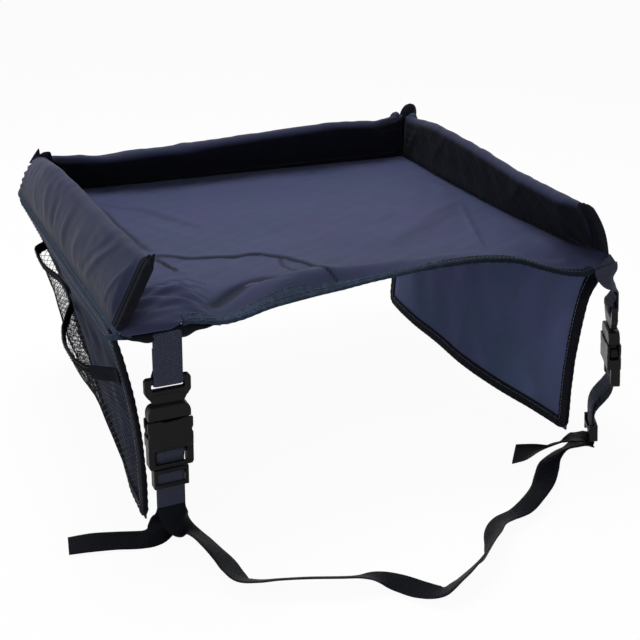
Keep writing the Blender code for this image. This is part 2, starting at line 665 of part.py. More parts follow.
def build_flap(prefix, flap, nylon, black_tape, mesh, elastic):
    """The hanging panel, the binding on its three free edges, the mesh, its elastic hem and the tab."""
    pivot = add_pivot(prefix + "_flap_pivot", flap.hinge)
    half = CLOTH / 2
    downs = np.linspace(0.0, FLAP_DROP, FLAP_CELLS_DOWN + 1)
    alongs = np.linspace(flap.front, FLAP_BACK, FLAP_CELLS_ALONG + 1)
    panel = flap.patch(np.concatenate([[-FLAP_HEAD], downs]), alongs,
                       lambda down, along: -half + 0 * down, lambda down, along: half + 0 * down)
    add_object(prefix + "_flap_panel", *panel, nylon, pivot)

    slot = half + GAP
    skin = slot + BINDING_WALL
    section = [(-FLAP_LIP, skin), (GAP + BINDING_WALL, skin), (GAP + BINDING_WALL, -skin),
               (-FLAP_LIP, -skin), (-FLAP_LIP, -slot), (GAP, -slot), (GAP, slot), (-FLAP_LIP, slot)]
    edge = [(down, flap.front, 0, -1) for down in downs[:-1]]
    edge += [(FLAP_DROP, flap.front, 1, -1)]
    edge += [(FLAP_DROP, along, 1, 0) for along in alongs[1:-1]]
    edge += [(FLAP_DROP, FLAP_BACK, 1, 1)]
    edge += [(down, FLAP_BACK, 0, 1) for down in downs[-2::-1]]
    rings = []
    for down, along, outward_down, outward_along in edge:
        rings.append([tuple(flap.place(down + outward_down * reach, along + outward_along * reach, out))
                      for reach, out in section])
    add_object(prefix + "_flap_binding", *lofted(rings), black_tape, pivot)

    cells = FLAP_CELLS_ALONG + 1
    pocket_alongs = np.linspace(flap.pocket_front, POCKET_BACK, 2 * cells + 1)
    mesh_low = POCKET_TOP + ELASTIC_WIDTH + GAP
    net = flap.patch(np.linspace(mesh_low, POCKET_FOOT, FLAP_CELLS_DOWN), pocket_alongs,
                     lambda down, along: MESH_LEVEL + flap.bulge(down, along),
                     lambda down, along: MESH_LEVEL + MESH_THICKNESS + flap.bulge(down, along))
    add_object(prefix + "_pocket_mesh", *net, mesh, pivot)
    band = flap.patch(np.linspace(POCKET_TOP, POCKET_TOP + ELASTIC_WIDTH, 2), pocket_alongs,
                      lambda down, along: MESH_LEVEL + flap.bulge(down, along),
                      lambda down, along: MESH_LEVEL + ELASTIC_THICKNESS + flap.bulge(down, along))
    add_object(prefix + "_pocket_elastic", *band, elastic, pivot)
    tab_level = MESH_LEVEL + ELASTIC_THICKNESS + GAP
    tab_rows = pocket_alongs[pocket_alongs < flap.pocket_front + TAB_LENGTH]
    tab_top = POCKET_TOP + (ELASTIC_WIDTH - TAB_WIDTH) / 2
    tab = flap.patch(np.linspace(tab_top, tab_top + TAB_WIDTH, 3), tab_rows,
                     lambda down, along: tab_level + flap.bulge(down, along),
                     lambda down, along: tab_level + TAB_THICKNESS + flap.bulge(down, along))
    add_object(prefix + "_elastic_tab", *tab, elastic, pivot)


# Straps and buckles

class StrapFrame:
    """A buckle's own frame: X across the webbing, Y through it with the front at minus, Z up it."""

    def __init__(self, origin, turn, tilt):
        self.origin = Vector(origin)
        self.turn = turn
        self.tilt = tilt
        spin = Matrix.Rotation(turn, 3, "Z") @ Matrix.Rotation(-tilt, 3, "X")
        self.axes = spin

    def place(self, x, y, z):
        """A point of the frame in the tray's own axes."""
        return tuple(self.origin + self.axes @ Vector((x, y, z)))

    def crosswise(self, y, z, x):
        """The same for an outline in the plane through the webbing, carried across it."""
        return self.place(x, y, z)

    def facing(self, x, z, y):
        """The same for an outline in the webbing's face, carried through it."""
        return self.place(x, y, z)


def left_frame():
    """The left buckle hangs straight and faces the front."""
    mouth = (-HALF_WIDTH + LEFT_BUCKLE_IN, FRONT_EDGE + LEFT_BUCKLE_BEHIND, -LEFT_BUCKLE_DROP)
    return StrapFrame(mouth, 0.0, 0.0)


def right_frame():
    """The right buckle hangs turned outward and a little forward."""
    mouth = (HALF_WIDTH + RIGHT_BUCKLE_OUT, FRONT_EDGE - RIGHT_BUCKLE_AHEAD, -RIGHT_BUCKLE_DROP)
    return StrapFrame(mouth, RIGHT_BUCKLE_TURN, RIGHT_BUCKLE_TILT)


def ribbon(centres, directions, width, thickness):
    """A flat strap through points, each with the direction across it; the ends are square."""
    centres = np.array(centres, dtype=float)
    directions = np.array(directions, dtype=float)
    tangents = np.gradient(centres, axis=0)
    tangents /= np.linalg.norm(tangents, axis=1, keepdims=True)
    directions -= tangents * np.sum(tangents * directions, axis=1, keepdims=True)
    directions /= np.linalg.norm(directions, axis=1, keepdims=True)
    faces_out = np.cross(directions, tangents)
    rings = []
    for centre, across, out in zip(centres, directions * width / 2, faces_out * thickness / 2):
        rings.append([tuple(centre - across - out), tuple(centre + across - out),
                      tuple(centre + across + out), tuple(centre - across + out)])
    return lofted(rings)


def smooth_route(points, step):
    """Points read about one step apart from a smooth curve through the given points."""
    points = np.array(points, dtype=float)
    padded = np.concatenate([2 * points[:1] - points[1:2], points, 2 * points[-1:] - points[-2:-1]])
    out = []
    for index in range(1, len(padded) - 2):
        before, start, end, after = padded[index - 1:index + 3]
        count = max(1, round(float(np.linalg.norm((end - start)[:3])) / step))
        share = np.linspace(0.0, 1.0, count, endpoint=False)[:, None]
        out.append(0.5 * (2 * start + (end - before) * share
                          + (2 * before - 5 * start + 4 * end - after) * share ** 2
                          + (3 * start - before - 3 * end + after) * share ** 3))
    return np.concatenate(out + [points[-1:]])


def bent(points, radius):
    """A flat path with its inner corners rounded to the radius."""
    path = [points[0]]
    for before, corner, after in zip(points, points[1:], points[2:]):
        before, corner, after = (np.array(point, dtype=float) for point in (before, corner, after))
        to_before = (before - corner) / np.linalg.norm(before - corner)
        to_after = (after - corner) / np.linalg.norm(after - corner)
        half_angle = 0.5 * math.acos(max(-1.0, min(1.0, float(to_before @ to_after))))
        reach = min(radius / math.tan(half_angle), CORNER_REACH_SHARE * np.linalg.norm(before - corner),
                    CORNER_REACH_SHARE * np.linalg.norm(after - corner))
        first, last = corner + to_before * reach, corner + to_after * reach
        for step in range(CORNER_STEPS + 1):
            share = step / CORNER_STEPS
            blend = (1 - share) ** 2 * first + 2 * share * (1 - share) * corner + share ** 2 * last
            path.append(tuple(blend))
    path.append(points[-1])
    return path


def from_corner(side, route):
    """A route's points, measured from the left or right front corner, in the tray's own axes."""
    return [((side * HALF_WIDTH + x, FRONT_EDGE + y, z), across) for (x, y, z), across in route]


def flat_strap(frame, path):
    """Webbing along a path in a strap frame's Y and Z."""
    centres = [frame.place(0.0, y, z) for y, z in path]
    across = frame.axes @ Vector((1.0, 0.0, 0.0))
    return ribbon(centres, [tuple(across)] * len(centres), WEBBING_WIDTH, WEBBING_THICKNESS)


def plug_slot():
    """The plug's slot, bottom and top, over the socket's mouth."""
    frame_top = GAP + SHOULDER_HEIGHT + NECK_HEIGHT + PLUG_FRAME_HEIGHT
    return frame_top - PLUG_TOP_BAR - PLUG_SLOT_HEIGHT, frame_top - PLUG_TOP_BAR, frame_top


def build_anchor(prefix, frame, upper, sewn, webbing):
    """Webbing from the tray's edge, down the plug's front, through its slot and sewn up behind.

    upper holds the stations from the tray to where the strap runs straight down the plug's front.
    """
    slot_bottom, slot_top, frame_top = plug_slot()
    stand_off = PLUG_PLATE / 2 + GAP + WEBBING_THICKNESS / 2
    turn_level = slot_top - GAP - WEBBING_THICKNESS / 2
    sewn_y = -stand_off + PLY_STEP
    path = [(-stand_off, frame_top), (-stand_off, turn_level), (stand_off, turn_level),
            (stand_off, frame_top), (sewn_y, frame_top + 2 * stand_off),
            (sewn_y, frame_top + 2 * stand_off + sewn)]
    across = tuple(frame.axes @ Vector((1.0, 0.0, 0.0)))
    stations = upper + [(frame.place(0.0, y, z), across) for y, z in bent(path, WEBBING_THICKNESS)]
    places, directions = zip(*stations)
    strap = ribbon(places, directions, WEBBING_WIDTH, WEBBING_THICKNESS)
    add_object(prefix + "_anchor_strap", *strap, webbing)


def left_anchor_start(frame):
    """The left strap's upper stations: a short run back under the binding, then straight down."""
    edge = -HALF_WIDTH + LEFT_BUCKLE_IN + WEBBING_WIDTH / 2
    under = float(sheet_middle(edge, front_edge(edge))) - BINDING_HALF
    top = under - GAP - WEBBING_THICKNESS / 2 - frame.origin.z
    stand_off = PLUG_PLATE / 2 + GAP + WEBBING_THICKNESS / 2
    path = [(ANCHOR_RUN - stand_off, top), (-stand_off, top), (-stand_off, plug_slot()[2])]
    return [(frame.place(0.0, y, z), (1.0, 0.0, 0.0)) for y, z in bent(path, WEBBING_THICKNESS)[:-1]]


def right_anchor_start(frame):
    """The right strap's upper stations: from the front of the corner, twisting as it comes down."""
    stand_off = PLUG_PLATE / 2 + GAP + WEBBING_THICKNESS / 2
    across = tuple(frame.axes @ Vector((1.0, 0.0, 0.0)))
    straight = (frame.place(0.0, -stand_off, RIGHT_ANCHOR_TWIST_START), across)
    stations = from_corner(1, RIGHT_ANCHOR_ROUTE) + [straight]
    route = smooth_route([tuple(place) + tuple(turn) for place, turn in stations], WEBBING_WIDTH / 8)
    return [(tuple(station[:3]), tuple(station[3:])) for station in route]


def build_socket(prefix, frame, plastic):
    """The socket: an open-sided mouth for the plug over a ladder with a round bar for the webbing."""
    half = BUCKLE_WIDTH / 2
    foot = -SOCKET_HOUSING - SOCKET_LADDER
    profile = [(-SOCKET_THICKNESS / 2, 0.0), (SOCKET_THICKNESS / 2, 0.0),
               (SOCKET_THICKNESS / 2, -SOCKET_HOUSING), (LADDER_BACK, -SOCKET_HOUSING),
               (LADDER_BACK, foot), (-LADDER_FRONT, foot),
               (-LADDER_FRONT, -SOCKET_HOUSING), (-SOCKET_THICKNESS / 2, -SOCKET_HOUSING)]
    socket = add_object(prefix + "_socket", *extruded(profile, frame.crosswise, -half, half), plastic)
    inner = half - SOCKET_SIDE_WALL
    outer = half + OVERRUN
    mouth = [(-outer, OVERRUN), (-outer, -WINDOW_DEPTH), (-inner, -WINDOW_DEPTH), (-inner, -CAVITY_DEPTH),
             (inner, -CAVITY_DEPTH), (inner, -WINDOW_DEPTH), (outer, -WINDOW_DEPTH), (outer, OVERRUN)]
    cavity_half = SOCKET_THICKNESS / 2 - SOCKET_WALL
    window_top = -SOCKET_HOUSING - GAP
    bar_front = -LADDER_FRONT + BOTTOM_BAR_THICKNESS
    ladder = [(-SOCKET_THICKNESS, window_top), (SOCKET_THICKNESS, window_top),
              (SOCKET_THICKNESS, foot - OVERRUN), (bar_front, foot - OVERRUN),
              (bar_front, foot + BOTTOM_BAR_HEIGHT), (-SOCKET_THICKNESS, foot + BOTTOM_BAR_HEIGHT)]
    open_half = half - LADDER_RAIL
    cutter = together(extruded(mouth, frame.facing, -cavity_half, cavity_half),
                      extruded(ladder, frame.crosswise, -open_half, open_half))
    join_or_cut(socket, prefix + "_socket_cutter", cutter, "DIFFERENCE")
    sides = 2 * WALL_ARC_STEPS
    bar = [(LADDER_BAR_RADIUS * math.cos(2 * math.pi * corner / sides),
            -LADDER_BAR_DROP + LADDER_BAR_RADIUS * math.sin(2 * math.pi * corner / sides))
           for corner in range(sides)]
    reach = open_half + LADDER_RAIL / 2
    join_or_cut(socket, prefix + "_socket_bar", extruded(bar, frame.crosswise, -reach, reach), "UNION")


def build_plug(prefix, frame, plastic):
    """The plug: shoulder, neck, the frame with the webbing's slot, and the guide tongue."""
    slot_bottom, slot_top, frame_top = plug_slot()
    pivot = add_pivot(prefix + "_plug_pivot", frame.place(0.0, 0.0, GAP))
    shoulder_top = GAP + SHOULDER_HEIGHT
    neck_top = shoulder_top + NECK_HEIGHT
    wide, narrow, tongue = BUCKLE_WIDTH / 2, NECK_WIDTH / 2, TONGUE_WIDTH / 2
    within = SHOULDER_HEIGHT / 2
    right_side = [(tongue, -TONGUE_LENGTH), (tongue, within), (narrow, within), (narrow, neck_top),
                  (wide, neck_top), (wide, frame_top)]
    outline = right_side + [(-x, z) for x, z in reversed(right_side)]
    half = PLUG_PLATE / 2
    plug = add_object(prefix + "_plug", *extruded(outline, frame.facing, -half, half), plastic, pivot)
    shoulder = cuboid(frame.place, (-SHOULDER_WIDTH / 2, -SHOULDER_THICKNESS / 2, GAP),
                      (SHOULDER_WIDTH / 2, SHOULDER_THICKNESS / 2, shoulder_top))
    join_or_cut(plug, prefix + "_plug_shoulder", shoulder, "UNION")
    slot = cuboid(frame.place, (-PLUG_SLOT_WIDTH / 2, -PLUG_PLATE, slot_bottom),
                  (PLUG_SLOT_WIDTH / 2, PLUG_PLATE, slot_top))
    join_or_cut(plug, prefix + "_plug_slot", slot, "DIFFERENCE")
    reach, root, hook = LATCH_REACH, LATCH_ROOT, LATCH_LENGTH
    axle = LATCH_SPACING / 2
    arm = [(axle - root / 2, 0.0), (axle + root / 2, 0.0)]
    arm += [(axle + out * (reach - axle), -down * hook) for out, down in LATCH_SHARES]
    for letter, side in (("a", -1), ("b", 1)):
        arm_pivot = add_pivot(prefix + "_latch_" + letter + "_pivot", frame.place(side * axle, 0.0, -GAP))
        shape = extruded([(side * x, z) for x, z in arm], frame.facing,
                         -LATCH_THICKNESS / 2, LATCH_THICKNESS / 2)
        add_object(prefix + "_latch_" + letter, *shape, plastic, arm_pivot)


def loop_path(length, straight_from, swing, belly):
    """The doubled webbing: up the front, round the ladder's bar and down the back.

    Between the ladder and straight_from, swing carries both plies back and belly parts them.
    """
    bar = LADDER_BAR_RADIUS + GAP + WEBBING_THICKNESS / 2
    close = LADDER_BAR_DROP + 2 * SLIDER_BAR_HEIGHT
    levels = np.linspace(close, straight_from, WALL_ARC_STEPS + 1)
    shares = (levels - close) / (straight_from - close)
    sway = swing * smooth_step(shares)
    apart = PLY_STEP / 2 + belly * np.sin(math.pi * shares) ** 2
    levels, sway, apart = (np.append(row, last) for row, last in
                           ((levels, length), (sway, swing), (apart, PLY_STEP / 2)))
    front = [(shift - part, -level) for shift, part, level in zip(sway, apart, levels)][::-1]
    back = [(shift + part, -level) for shift, part, level in zip(sway, apart, levels)]
    arc = [(-bar * math.cos(math.pi * step / WALL_ARC_STEPS),
            -LADDER_BAR_DROP + bar * math.sin(math.pi * step / WALL_ARC_STEPS))
           for step in range(WALL_ARC_STEPS + 1)]
    return front + arc + back


def build_slider(prefix, frame, drop, swing, plastic):
    """The slider: two front bars and one back bar, which the doubled webbing runs straight through."""
    place = frame.place(0.0, swing, -drop)
    pivot = add_pivot(prefix + "_slider_pivot", place)
    own = StrapFrame(place, frame.turn, frame.tilt)
    half_high, half_wide, half_thick = SLIDER_HEIGHT / 2, SLIDER_WIDTH / 2, SLIDER_THICKNESS / 2
    block = cuboid(own.place, (-half_wide, -half_thick, -half_high), (half_wide, half_thick, half_high))
    slider = add_object(prefix + "_slider", *block, plastic, pivot)
    past, above = half_thick + OVERRUN, half_high + OVERRUN
    bar, mid = half_high - SLIDER_BAR_HEIGHT, SLIDER_BAR_HEIGHT / 2
    inner = half_thick - SLIDER_BAR_THICKNESS
    opening = [(-inner, above), (past, above), (past, mid), (inner, mid), (inner, -mid), (past, -mid),
               (past, -above), (-inner, -above), (-inner, -bar), (-past, -bar), (-past, bar), (-inner, bar)]
    open_half = WEBBING_WIDTH / 2 + SLIDER_SIDE_PLAY
    cutter = extruded(opening, own.crosswise, -open_half, open_half)
    join_or_cut(slider, prefix + "_slider_cutter", cutter, "DIFFERENCE")


def loose_end(frame, swing, length, ply, route):
    """A loose strap's route and directions, starting where a loop's ply ends."""
    start = frame.place(0.0, swing + ply, -length - GAP)
    lead = frame.place(0.0, swing + ply, -length - GAP - WEBBING_THICKNESS)
    across = tuple(frame.axes @ Vector((-1.0, 0.0, 0.0)))
    return [(start, across), (lead, across)] + route


def build_loose(name, stations, webbing):
    """A loose stretch of webbing through stations of a place and a direction across, on the floor."""
    route = smooth_route([tuple(place) + tuple(across) for place, across in stations], WEBBING_WIDTH / 4)
    edge = WEBBING_WIDTH / 2 * np.abs(route[:, 5]) / np.linalg.norm(route[:, 3:], axis=1)
    route[:, 2] = np.maximum(route[:, 2], edge + WEBBING_THICKNESS / 2 - FLOOR_BELOW)
    add_object(name, *ribbon(route[:, :3], route[:, 3:], WEBBING_WIDTH, WEBBING_THICKNESS), webbing)


def build_straps(webbing, plastic):
    """Both hanging straps with their buckles and sliders, and the loose webbing between them."""
    left, right = left_frame(), right_frame()
    build_anchor("left", left, left_anchor_start(left), LEFT_ANCHOR_SEWN, webbing)
    build_anchor("right", right, right_anchor_start(right), RIGHT_ANCHOR_SEWN, webbing)
    for prefix, frame in (("left", left), ("right", right)):
        build_socket(prefix, frame, plastic)
        build_plug(prefix, frame, plastic)
    left_straight = LEFT_SLIDER_DROP - SLIDER_HEIGHT / 2
    right_straight = RIGHT_SLIDER_DROP - SLIDER_HEIGHT / 2 - RIGHT_SLIDER_TRAVEL
    left_path = loop_path(LEFT_LOOP_LENGTH, left_straight, 0.0, 0.0)
    right_path = loop_path(RIGHT_LOOP_LENGTH, right_straight, RIGHT_LOOP_SWING, RIGHT_LOOP_BELLY)
    add_object("left_loop", *flat_strap(left, left_path), webbing)
    add_object("right_loop", *flat_strap(right, right_path), webbing)
    build_slider("left", left, LEFT_SLIDER_DROP, 0.0, plastic)
    build_slider("right", right, RIGHT_SLIDER_DROP, RIGHT_LOOP_SWING, plastic)
    ply = PLY_STEP / 2
    wider = TRAY_WIDTH / ROUTE_WIDTH
    belt = [((x * wider, FRONT_EDGE + y, z), across) for (x, y, z), across in BELT_ROUTE]
    from_left = loose_end(left, 0.0, LEFT_LOOP_LENGTH, -ply, belt)
    from_right = loose_end(right, RIGHT_LOOP_SWING, RIGHT_LOOP_LENGTH, -ply, [])
    build_loose("belt", from_left + from_right[::-1], webbing)
    left_tail = loose_end(left, 0.0, LEFT_LOOP_LENGTH, ply, from_corner(-1, LEFT_TAIL_ROUTE))
    build_loose("left_tail", left_tail, webbing)
    right_tail = loose_end(right, RIGHT_LOOP_SWING, RIGHT_LOOP_LENGTH, ply,
                           from_corner(1, RIGHT_TAIL_ROUTE))
    build_loose("right_tail", right_tail, webbing)


def build():
    """The whole tray."""
    for old in list(bpy.data.objects):
        bpy.data.objects.remove(old, do_unlink=True)
    nylon = material("navy_nylon", (0.020, 0.045, 0.110), 0.80)
    black_tape = material("black_binding", (0.012, 0.012, 0.015), 0.75)
    mesh = material("black_mesh", (0.015, 0.017, 0.025), 0.80)
    elastic = material("black_elastic", (0.010, 0.010, 0.012), 0.85)
    webbing = material("navy_webbing", (0.012, 0.016, 0.035), 0.70)
    plastic = material("black_plastic", (0.015, 0.015, 0.016), 0.40)
    board_plastic = material("board_plastic", (0.60, 0.60, 0.58), 0.50)
    foam = material("foam", (0.75, 0.74, 0.70), 0.90)
    build_floor(nylon, board_plastic, black_tape)
    build_walls(nylon, foam, black_tape)
    left = Flap(-1, LEFT_FLAP_FRONT, LEFT_FLAP_LEAN, left_fold)
    right = Flap(1, RIGHT_FLAP_FRONT, RIGHT_FLAP_LEAN, right_fold)
    build_flap("left", left, nylon, black_tape, mesh, elastic)
    build_flap("right", right, nylon, black_tape, mesh, elastic)
    build_straps(webbing, plastic)


build()
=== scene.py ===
"""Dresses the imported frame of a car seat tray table: cloth, padded walls, net pockets, webbing and buckles.

Metres. +X is the child's right, +Y is away from the lap, +Z is up, and the origin is the middle of the
tray's flat underside.
"""

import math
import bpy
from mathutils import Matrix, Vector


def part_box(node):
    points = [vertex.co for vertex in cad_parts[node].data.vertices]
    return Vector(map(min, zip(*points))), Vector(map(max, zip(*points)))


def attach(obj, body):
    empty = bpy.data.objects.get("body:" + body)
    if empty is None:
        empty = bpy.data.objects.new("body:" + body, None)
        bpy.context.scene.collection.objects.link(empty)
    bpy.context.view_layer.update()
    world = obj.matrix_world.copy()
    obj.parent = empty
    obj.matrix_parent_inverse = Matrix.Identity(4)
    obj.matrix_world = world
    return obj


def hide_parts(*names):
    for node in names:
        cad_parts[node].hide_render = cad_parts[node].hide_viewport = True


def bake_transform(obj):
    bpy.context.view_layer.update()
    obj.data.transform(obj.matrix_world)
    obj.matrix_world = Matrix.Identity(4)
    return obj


bl_info = {
    "name": "Car Seat Tray Table",
    "version": (1, 0, 0),
    "blender": (4, 5, 0),
    "location": "View3D > Sidebar > Tray Table",
    "description": "Builds a child's travel tray in navy nylon round its packed frame",
    "category": "Add Mesh",
}

import bmesh
import bpy
import numpy as np
from bpy.props import FloatProperty, FloatVectorProperty, PointerProperty
from bpy.types import Operator, Panel, PropertyGroup
from mathutils import Matrix, Vector

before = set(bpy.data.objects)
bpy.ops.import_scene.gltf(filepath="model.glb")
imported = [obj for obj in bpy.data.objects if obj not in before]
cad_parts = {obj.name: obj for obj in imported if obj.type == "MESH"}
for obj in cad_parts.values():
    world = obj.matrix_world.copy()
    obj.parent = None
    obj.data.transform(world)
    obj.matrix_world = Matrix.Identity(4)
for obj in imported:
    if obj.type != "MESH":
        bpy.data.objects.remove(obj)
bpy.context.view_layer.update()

# Levels and edges read from the frame
SHEET_LOW, SHEET_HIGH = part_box("top_sheet")
BOARD_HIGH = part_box("base_board")[1]
HALF_WIDTH = SHEET_HIGH.x
FRONT_EDGE, BACK_EDGE = SHEET_LOW.y, SHEET_HIGH.y
WALL_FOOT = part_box("back_wall_cover")[0].z
APRON_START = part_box("bottom_sheet")[0].y
TURN = 2 * math.pi
GAP = 0.0003
CLOTH = 0.0012
SHEET_MIDDLE = BOARD_HIGH.z + GAP + CLOTH / 2

# The front edge: its bow, the apron's deepest droop, and its binding
FRONT_BOW = 0.034
APRON_DROOP = 0.016
BINDING_START = -0.154
ROLL = 0.0034
# The apron's droop along the front: shares of the half width, and of the deepest droop
DROOP_SHARES = ((-1, 0), (-0.94, 0.05), (-0.8, 0.2), (-0.68, 0.62), (-0.53, 0.72), (-0.42, 0.55),
                (-0.25, 0.55), (-0.1, 0.55), (0.1, 0.3), (0.3, 0), (0.45, -0.2), (0.6, -0.12),
                (0.7, 0.35), (0.82, 0.8), (0.94, 0.95), (0.985, 0), (1, 0))

# Walls: how far each leans at shares of its length, in degrees
LEFT_LEANS = ((0, 27), (0.2, 18), (0.5, 15), (0.75, 11), (1, 18))
RIGHT_LEANS = ((0, 30), (0.3, 26), (0.5, 18), (0.8, 9), (1, 0))
BACK_LEANS = ((0, 18), (0.1, 36), (0.3, 37), (0.5, 31), (0.75, 24), (0.93, 18), (1, 0))
# How much of its height each wall keeps along its length
LEFT_HEIGHTS = ((0, 1), (0.7, 1), (0.85, 0.9), (1, 0.74))
RIGHT_HEIGHTS = ((0, 1), (0.8, 1), (0.95, 0.86), (1, 0.84))
BACK_HEIGHTS = ((0, 0.74), (0.1, 0.88), (0.25, 0.97), (0.8, 1), (0.95, 0.88), (1, 0.84))

# Tapes on the walls' ends, which meet in the back corners
CORNER_GAP = 0.00045
CORNER_TAPE = 0.0021
CORNER_TIP = 0.007
STRIP_WIDTH = 0.012
STRIP_SPIKE = 0.007

# Cloth bunched at the back corners: name, body, low and high end, half widths, powers of its point, finish
CORNER_BUNCHES = (
    ("left_corner_ear", "left_wall", (-0.1862, 0.15, 0.034), (-0.1815, 0.1515, 0.0462),
     (0.0046, 0.003), (1, 0.8), "tape"),
    ("right_corner_cap", "right_wall", (0.196, 0.159, 0.04), (0.1975, 0.158, 0.0592),
     (0.0092, 0.005), (3, 0.5), "tape"),
    ("back_corner_puff", "back_wall", (0.1805, 0.159, 0.036), (0.1815, 0.158, 0.0518),
     (0.0062, 0.0055), (3, 0.5), "wall"),
    ("right_corner_puff", "right_wall", (0.195, 0.1475, 0.036), (0.1955, 0.1465, 0.052),
     (0.0052, 0.0078), (3, 0.5), "wall"),
)

# Flaps and pockets
FLAP_DROP = 0.156
FLAP_HINGE_INSET = 0.0016
FLAP_HINGE_DROP = 0.0025
FLAP_HEAD = 0.0021
FLAP_LIP = 0.0087
FLAP_CORNER = 0.01
FLAP_STITCH_INSET = 0.0068
SEAM_TAPE = 0.015
PIPING_FOOT = -0.0009
BINDING_WALL = 0.001
POCKET_TOP = 0.038
# How far each flap's foot stands out of its plane, and its pocket's hem off the cloth, along its length
LEFT_FLAP_FEET = ((0, 0.004), (0.03, 0.0025), (0.14, 0), (0.24, -0.0029), (0.35, -0.0057),
                  (0.466, -0.0088), (0.6, -0.0154), (0.8, -0.0192), (0.934, -0.0239), (1, -0.025))
RIGHT_FLAP_FEET = ((0, 0), (0.25, -0.01), (0.5, -0.014), (0.75, -0.01), (1, 0))
LEFT_HEM_STANDS = ((0.03, 0), (0.053, 0.002), (0.074, 0.0094), (0.107, 0.0174), (0.165, 0.022),
                   (0.274, 0.0215), (0.353, 0.0165), (0.43, 0.008), (0.48, 0.0025), (0.52, 0.0013),
                   (0.57, 0.0012), (0.62, 0.0015), (0.686, 0.003), (0.75, 0.0075), (0.795, 0.01),
                   (0.86, 0.011), (0.934, 0.01), (0.969, 0))
RIGHT_HEM_STANDS = ((0.03, 0), (0.08, 0.008), (0.15, 0.015), (0.27, 0.018), (0.4, 0.01), (0.48, 0.002),
                    (0.52, 0.001), (0.6, 0.005), (0.73, 0.009), (0.88, 0.006), (0.969, 0))
ELASTIC_WIDTH = 0.008
NET_LEVEL = CLOTH / 2 + GAP
NET_STRETCH = 1.5

# Flat sizes of the cloth pieces, as cut, and the depths of the black lip that is painted shade under the left
# front corner
TAB_FLAT = (0.02, 0.012)
SHADE_LIP_DEPTHS = ((0, 0.004), (0.12, 0.0128), (0.42, 0.0176), (0.7, 0.0166), (1, 0.009))

# Trim: pipings, tapes, weaves and stitches
PIPING_RADIUS = 0.0014
PIPING_INSET = 0.0006
FRONT_TAPE = 0.0008
WEAVE_PITCH = 0.00055
TAPE_RIB = 0.0011
STITCH_PITCH = 0.0034
PUCKER_PITCH = 0.0068

# Straps and buckles
WEBBING_WIDTH = 0.0205
WEBBING_THICKNESS = 0.0015
PLY_STEP = WEBBING_THICKNESS + GAP
FLOOR_LEVEL = -0.1668
LADDER_BAR_DROP = 0.0275
LADDER_BAR_RADIUS = 0.0015
LEFT_MOUTH = (-0.166, -0.16, -0.067)
RIGHT_MOUTH = (0.206, -0.1735, -0.065)
RIGHT_TURN = math.radians(61)
RIGHT_TILT = math.radians(7)
LEFT_LOOP_LENGTH, RIGHT_LOOP_LENGTH = 0.071, 0.091
LEFT_STRAIGHT, RIGHT_STRAIGHT = 0.0395, 0.0665
RIGHT_SWING, RIGHT_BELLY = 0.0155, 0.0035
BUCKLE_HALF = 0.01625
PLUG_TOP = 0.0313
PLUG_SLOT_TOP = 0.0273
PLUG_STAND_OFF = 0.00355

# The webbing's routes: each row is a point and the direction across the webbing there
BELT_ROUTE = (
    (-0.165, -0.1625, -0.146, -1, 0, 0), (-0.161, -0.164, -0.154, -0.9, -0.2, 0.1),
    (-0.154, -0.169, -0.159, -0.85, -0.3, 0.4), (-0.15, -0.18, -0.159, -0.8, -0.25, 0.5),
    (-0.147, -0.194, -0.159, -0.82, -0.15, 0.5), (-0.144, -0.208, -0.16, -0.85, -0.2, 0.45),
    (-0.143, -0.223, -0.16, -0.8, -0.4, 0.45), (-0.141, -0.235, -0.159, -0.55, -0.7, 0.5),
    (-0.132, -0.242, -0.158, -0.35, -0.75, 0.55), (-0.118, -0.246, -0.158, -0.32, -0.74, 0.59),
    (-0.1, -0.252, -0.158, -0.34, -0.73, 0.58), (-0.08, -0.26, -0.158, -0.38, -0.72, 0.58),
    (-0.066, -0.264, -0.159, -0.42, -0.72, 0.55), (-0.052, -0.267, -0.162, -0.62, -0.7, 0.25),
    (-0.041, -0.275, -0.164, -0.76, -0.65, 0.05), (-0.031, -0.287, -0.164, -0.82, -0.57, 0.05),
    (-0.02, -0.297, -0.162, -0.5, -0.75, 0.3), (-0.007, -0.295, -0.158, 0, -0.7, 0.7),
    (0.012, -0.287, -0.155, 0.18, -0.5, 0.85), (0.028, -0.278, -0.154, 0.17, -0.26, 0.95),
    (0.04, -0.266, -0.156, 0.25, -0.5, 0.8), (0.052, -0.252, -0.158, 0.3, -0.75, 0.6),
    (0.066, -0.243, -0.16, 0.2, -0.9, 0.4), (0.084, -0.238, -0.161, 0.35, -0.87, 0.35),
    (0.103, -0.228, -0.16, 0.45, -0.8, 0.4), (0.12, -0.216, -0.16, 0.55, -0.72, 0.42),
    (0.134, -0.202, -0.16, 0.65, -0.66, 0.42), (0.147, -0.189, -0.159, 0.4, -0.8, 0.5),
    (0.163, -0.181, -0.158, 0.1, -0.85, 0.6), (0.178, -0.178, -0.1588, 0, -0.85, 0.45),
    (0.19, -0.1735, -0.1612, -0.2, -0.88, 0.25), (0.198, -0.1705, -0.1632, -0.42, -0.9, 0.1),
    (0.2022, -0.1713, -0.1617, -0.49, -0.87, 0),
)
LEFT_TAIL_ROUTE = (
    (-0.167, -0.157, -0.147, -1, 0.05, 0), (-0.169, -0.155, -0.153, -0.97, 0.2, 0.1),
    (-0.172, -0.155, -0.159, -0.8, 0.55, 0.2), (-0.178, -0.158, -0.163, -0.3, 0.9, 0.1),
    (-0.187, -0.158, -0.164, 0.3, 0.95, 0.05), (-0.205, -0.152, -0.164, 0.35, 0.93, 0.05),
    (-0.222, -0.148, -0.1635, 0.25, 0.95, 0.08), (-0.238, -0.145, -0.164, 0.2, 0.97, 0.03),
)
